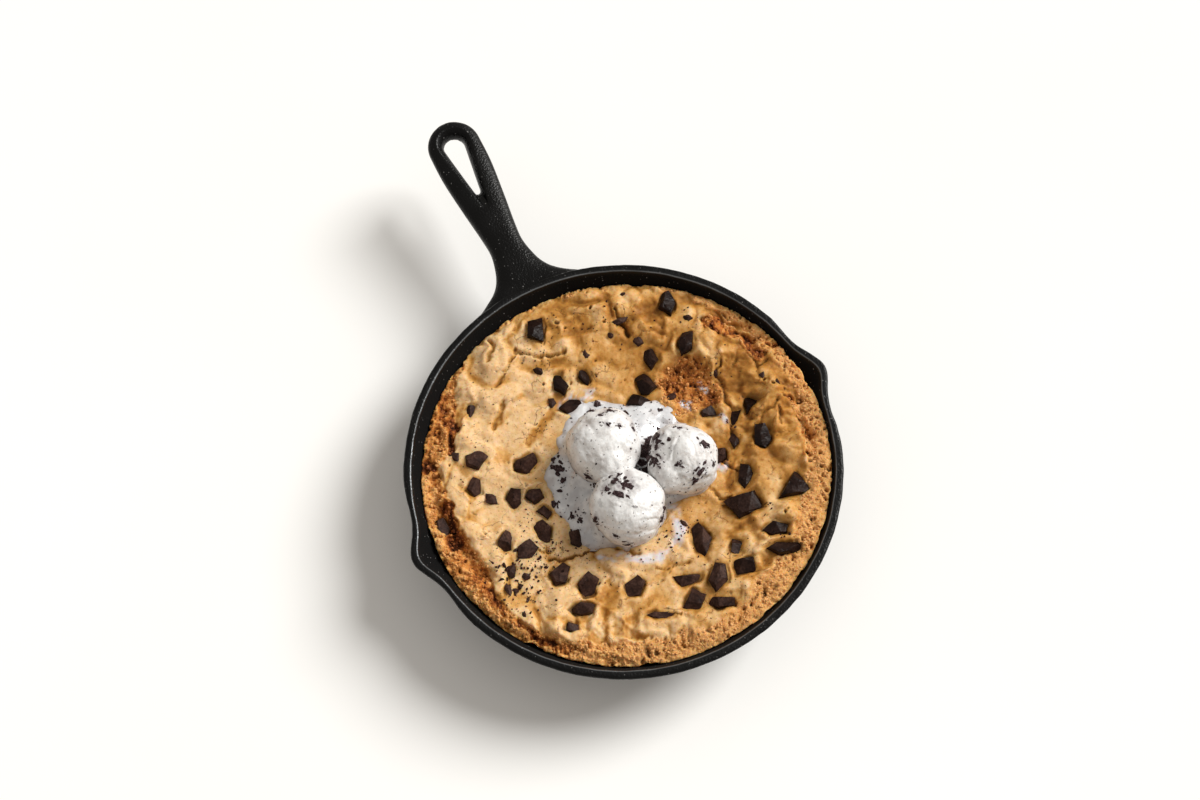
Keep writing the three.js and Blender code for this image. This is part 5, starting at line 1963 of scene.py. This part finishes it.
    def float_bits(self, source: np.random.Generator) -> None:
        """Lays flakes on the cream: round the larger pieces, and small ones by chance."""
        rows = np.repeat(np.array(self.bits), self.flakes, axis=0)
        u, v, length, width, turn = rows.T
        first = np.tile(np.arange(self.flakes) == 0, len(self.bits))
        share = np.where(first, 1.0, 0.15 + 0.45 * source.random(len(u)) ** 1.5)
        stray = source.normal(size=(2, len(u))) * (0.38 * length, 0.42 * width) * ~first
        cos, sin = np.cos(np.radians(turn)), np.sin(np.radians(turn))
        u, v = u + stray[0] * cos - stray[1] * sin, v + stray[0] * sin + stray[1] * cos
        half = [length * share / 2, width * np.maximum(share, 0.2) / 2, 0.35 + 1.0 * share]

        angle = source.uniform(0.0, TURN, self.specks)
        far = self.reach(angle) * source.uniform(0.55, 0.97, self.specks)
        u, v = np.concatenate([(u, v), self.place(far, angle)], axis=1)
        size = 0.3 + 0.9 * source.random(self.specks) ** 3
        small = [size, size * 0.7, 0.3 + 0 * size]
        spin = np.concatenate([np.radians(turn), source.uniform(0, np.pi, self.specks)])
        off_u, off_v = u - self.centre[0], v - self.centre[1]
        away = np.hypot(off_u, off_v) / self.reach(np.arctan2(off_v, off_u))
        places = np.stack([u, v, self.level(u, v, away)], axis=-1)
        turns = upright_turns(np.tile((0.0, 0.0, 1.0), (len(u), 1)), spin)
        mesh = scatter("pool_bits", places, np.concatenate([half, small], axis=1).T, turns, 922, 0.42)
        add_piece("cookie_bits_in_pool", mesh, self.bits_finish, Slot.MELT)


# ---- Studio ----


@dataclass
class Studio:
    """The pale floor, the soft light and the camera at the photograph's angle."""

    image_turn: float = math.radians(-23.0)  # from the picture's right to the part's +X
    aim: tuple[float, float, float] = (-11.09, 39.85, 50.0)  # in the picture's axes
    distance: float = 1000.0
    elevation: float = math.radians(67.831)
    roll: float = math.radians(-3.721)
    lens: float = 50.05
    sensor: float = 36.0
    sky: float = 0.44
    key_strength: float = 3.5
    key_softness: float = math.radians(28.0)
    key_from: tuple[float, float, float] = (0.72, 0.36, 0.64)  # in the picture's axes
    floor_half: float = 15000.0
    finish: PaleGround = PaleGround()

    def turned(self, vector: tuple[float, float, float]) -> Vector:
        """A vector of the picture's axes in the part's axes."""
        return Matrix.Rotation(self.image_turn, 3, "Z") @ Vector(vector)

    def camera(self) -> None:
        """Looks down at the pan, tipped by the photograph's small roll."""
        cos_e, sin_e = math.cos(self.elevation), math.sin(self.elevation)
        cos_r, sin_r = math.cos(self.roll), math.sin(self.roll)
        back = self.turned((0.0, -cos_e, sin_e))
        level, upright = self.turned((1.0, 0.0, 0.0)), self.turned((0.0, sin_e, cos_e))
        right = level * cos_r + upright * sin_r
        up = upright * cos_r - level * sin_r
        data = bpy.data.cameras.new("camera")
        data.lens = self.lens
        data.sensor_width = self.sensor
        camera = show("camera", data)
        place = (self.turned(self.aim) + back * self.distance) * MM
        axes = Matrix((right, up, back)).transposed().to_4x4()
        camera.matrix_world = Matrix.Translation(place) @ axes
        bpy.context.scene.camera = camera

    def key(self) -> None:
        """A wide soft light like a large window's, from the picture's upper right."""
        data = bpy.data.lights.new("key", "SUN")
        data.energy = self.key_strength
        data.angle = self.key_softness
        data.color = linear("#fffefb")[:3]
        lamp = show("key", data)
        toward = self.turned(self.key_from).normalized()
        lamp.location = toward
        lamp.rotation_euler = toward.to_track_quat("Z", "Y").to_euler()

    def build(self) -> None:
        """Sets the floor, the sky, the light and the camera."""
        side = self.floor_half
        corners = np.array([[-side, -side, 0], [side, -side, 0], [side, side, 0], [-side, side, 0]])
        mesh = make_mesh("floor", corners, [np.array([[0, 1, 2, 3]])])
        mesh.materials.append(self.finish.material())
        floor = show("floor", mesh)
        world = bpy.data.worlds.new("studio")
        world.use_nodes = True
        backdrop = world.node_tree.nodes["Background"]
        backdrop.inputs["Color"].default_value = linear("#fff8ef")
        backdrop.inputs["Strength"].default_value = self.sky
        bpy.context.scene.world = world
        bpy.context.scene.view_settings.view_transform = "Standard"
        self.key()
        self.camera()


def main() -> None:
    """Builds the pan, the food and the studio in turn."""
    logging.basicConfig(level=logging.INFO, format="%(name)s: %(message)s")
    skillet = Skillet()
    skillet.build()
    chunks = Chunks()
    cookie = Cookie(skillet, chunks)
    cookie.build()
    chunks.build()
    Chips(cookie).build()
    scoops = (
        Scoop(1, -12.0, 8.0, 52.5, 21.6, folds=(
            (33, 10, 0.04, 0.9), (-150, 20, 0.45, 0.7), (95, 25, 0.62, 0.6)),
            bridges=((-69, 4.5), (-10, 1.5), (60, 2.5))),
        Scoop(2, 36.0, 0.0, 51.5, 20.7, folds=(
            (168, 15, 0.45, 1.3), (-80, -25, 0.42, 0.9), (20, 30, 0.55, 0.5)),
            bridges=((171, 1.0), (-137, 3.5), (120, 1.5))),
        Scoop(3, 3.2, -31.0, 53.0, 21.0, folds=(
            (95, 35, -0.18, 1.1), (-100, -10, 0.62, 0.8), (150, 30, 0.62, 0.7)),
            bridges=((111, 4.0), (43, 2.5), (175, 1.5))))
    bits = ScoopBits()
    for scoop in scoops:
        scoop.build(bits)
    bits.build(scoops)
    pool = Pool(cookie, scoops)
    pool.build()
    Crumbs(cookie).build(pool.outside)
    Studio().build()


if __name__ == "__main__":
    main()
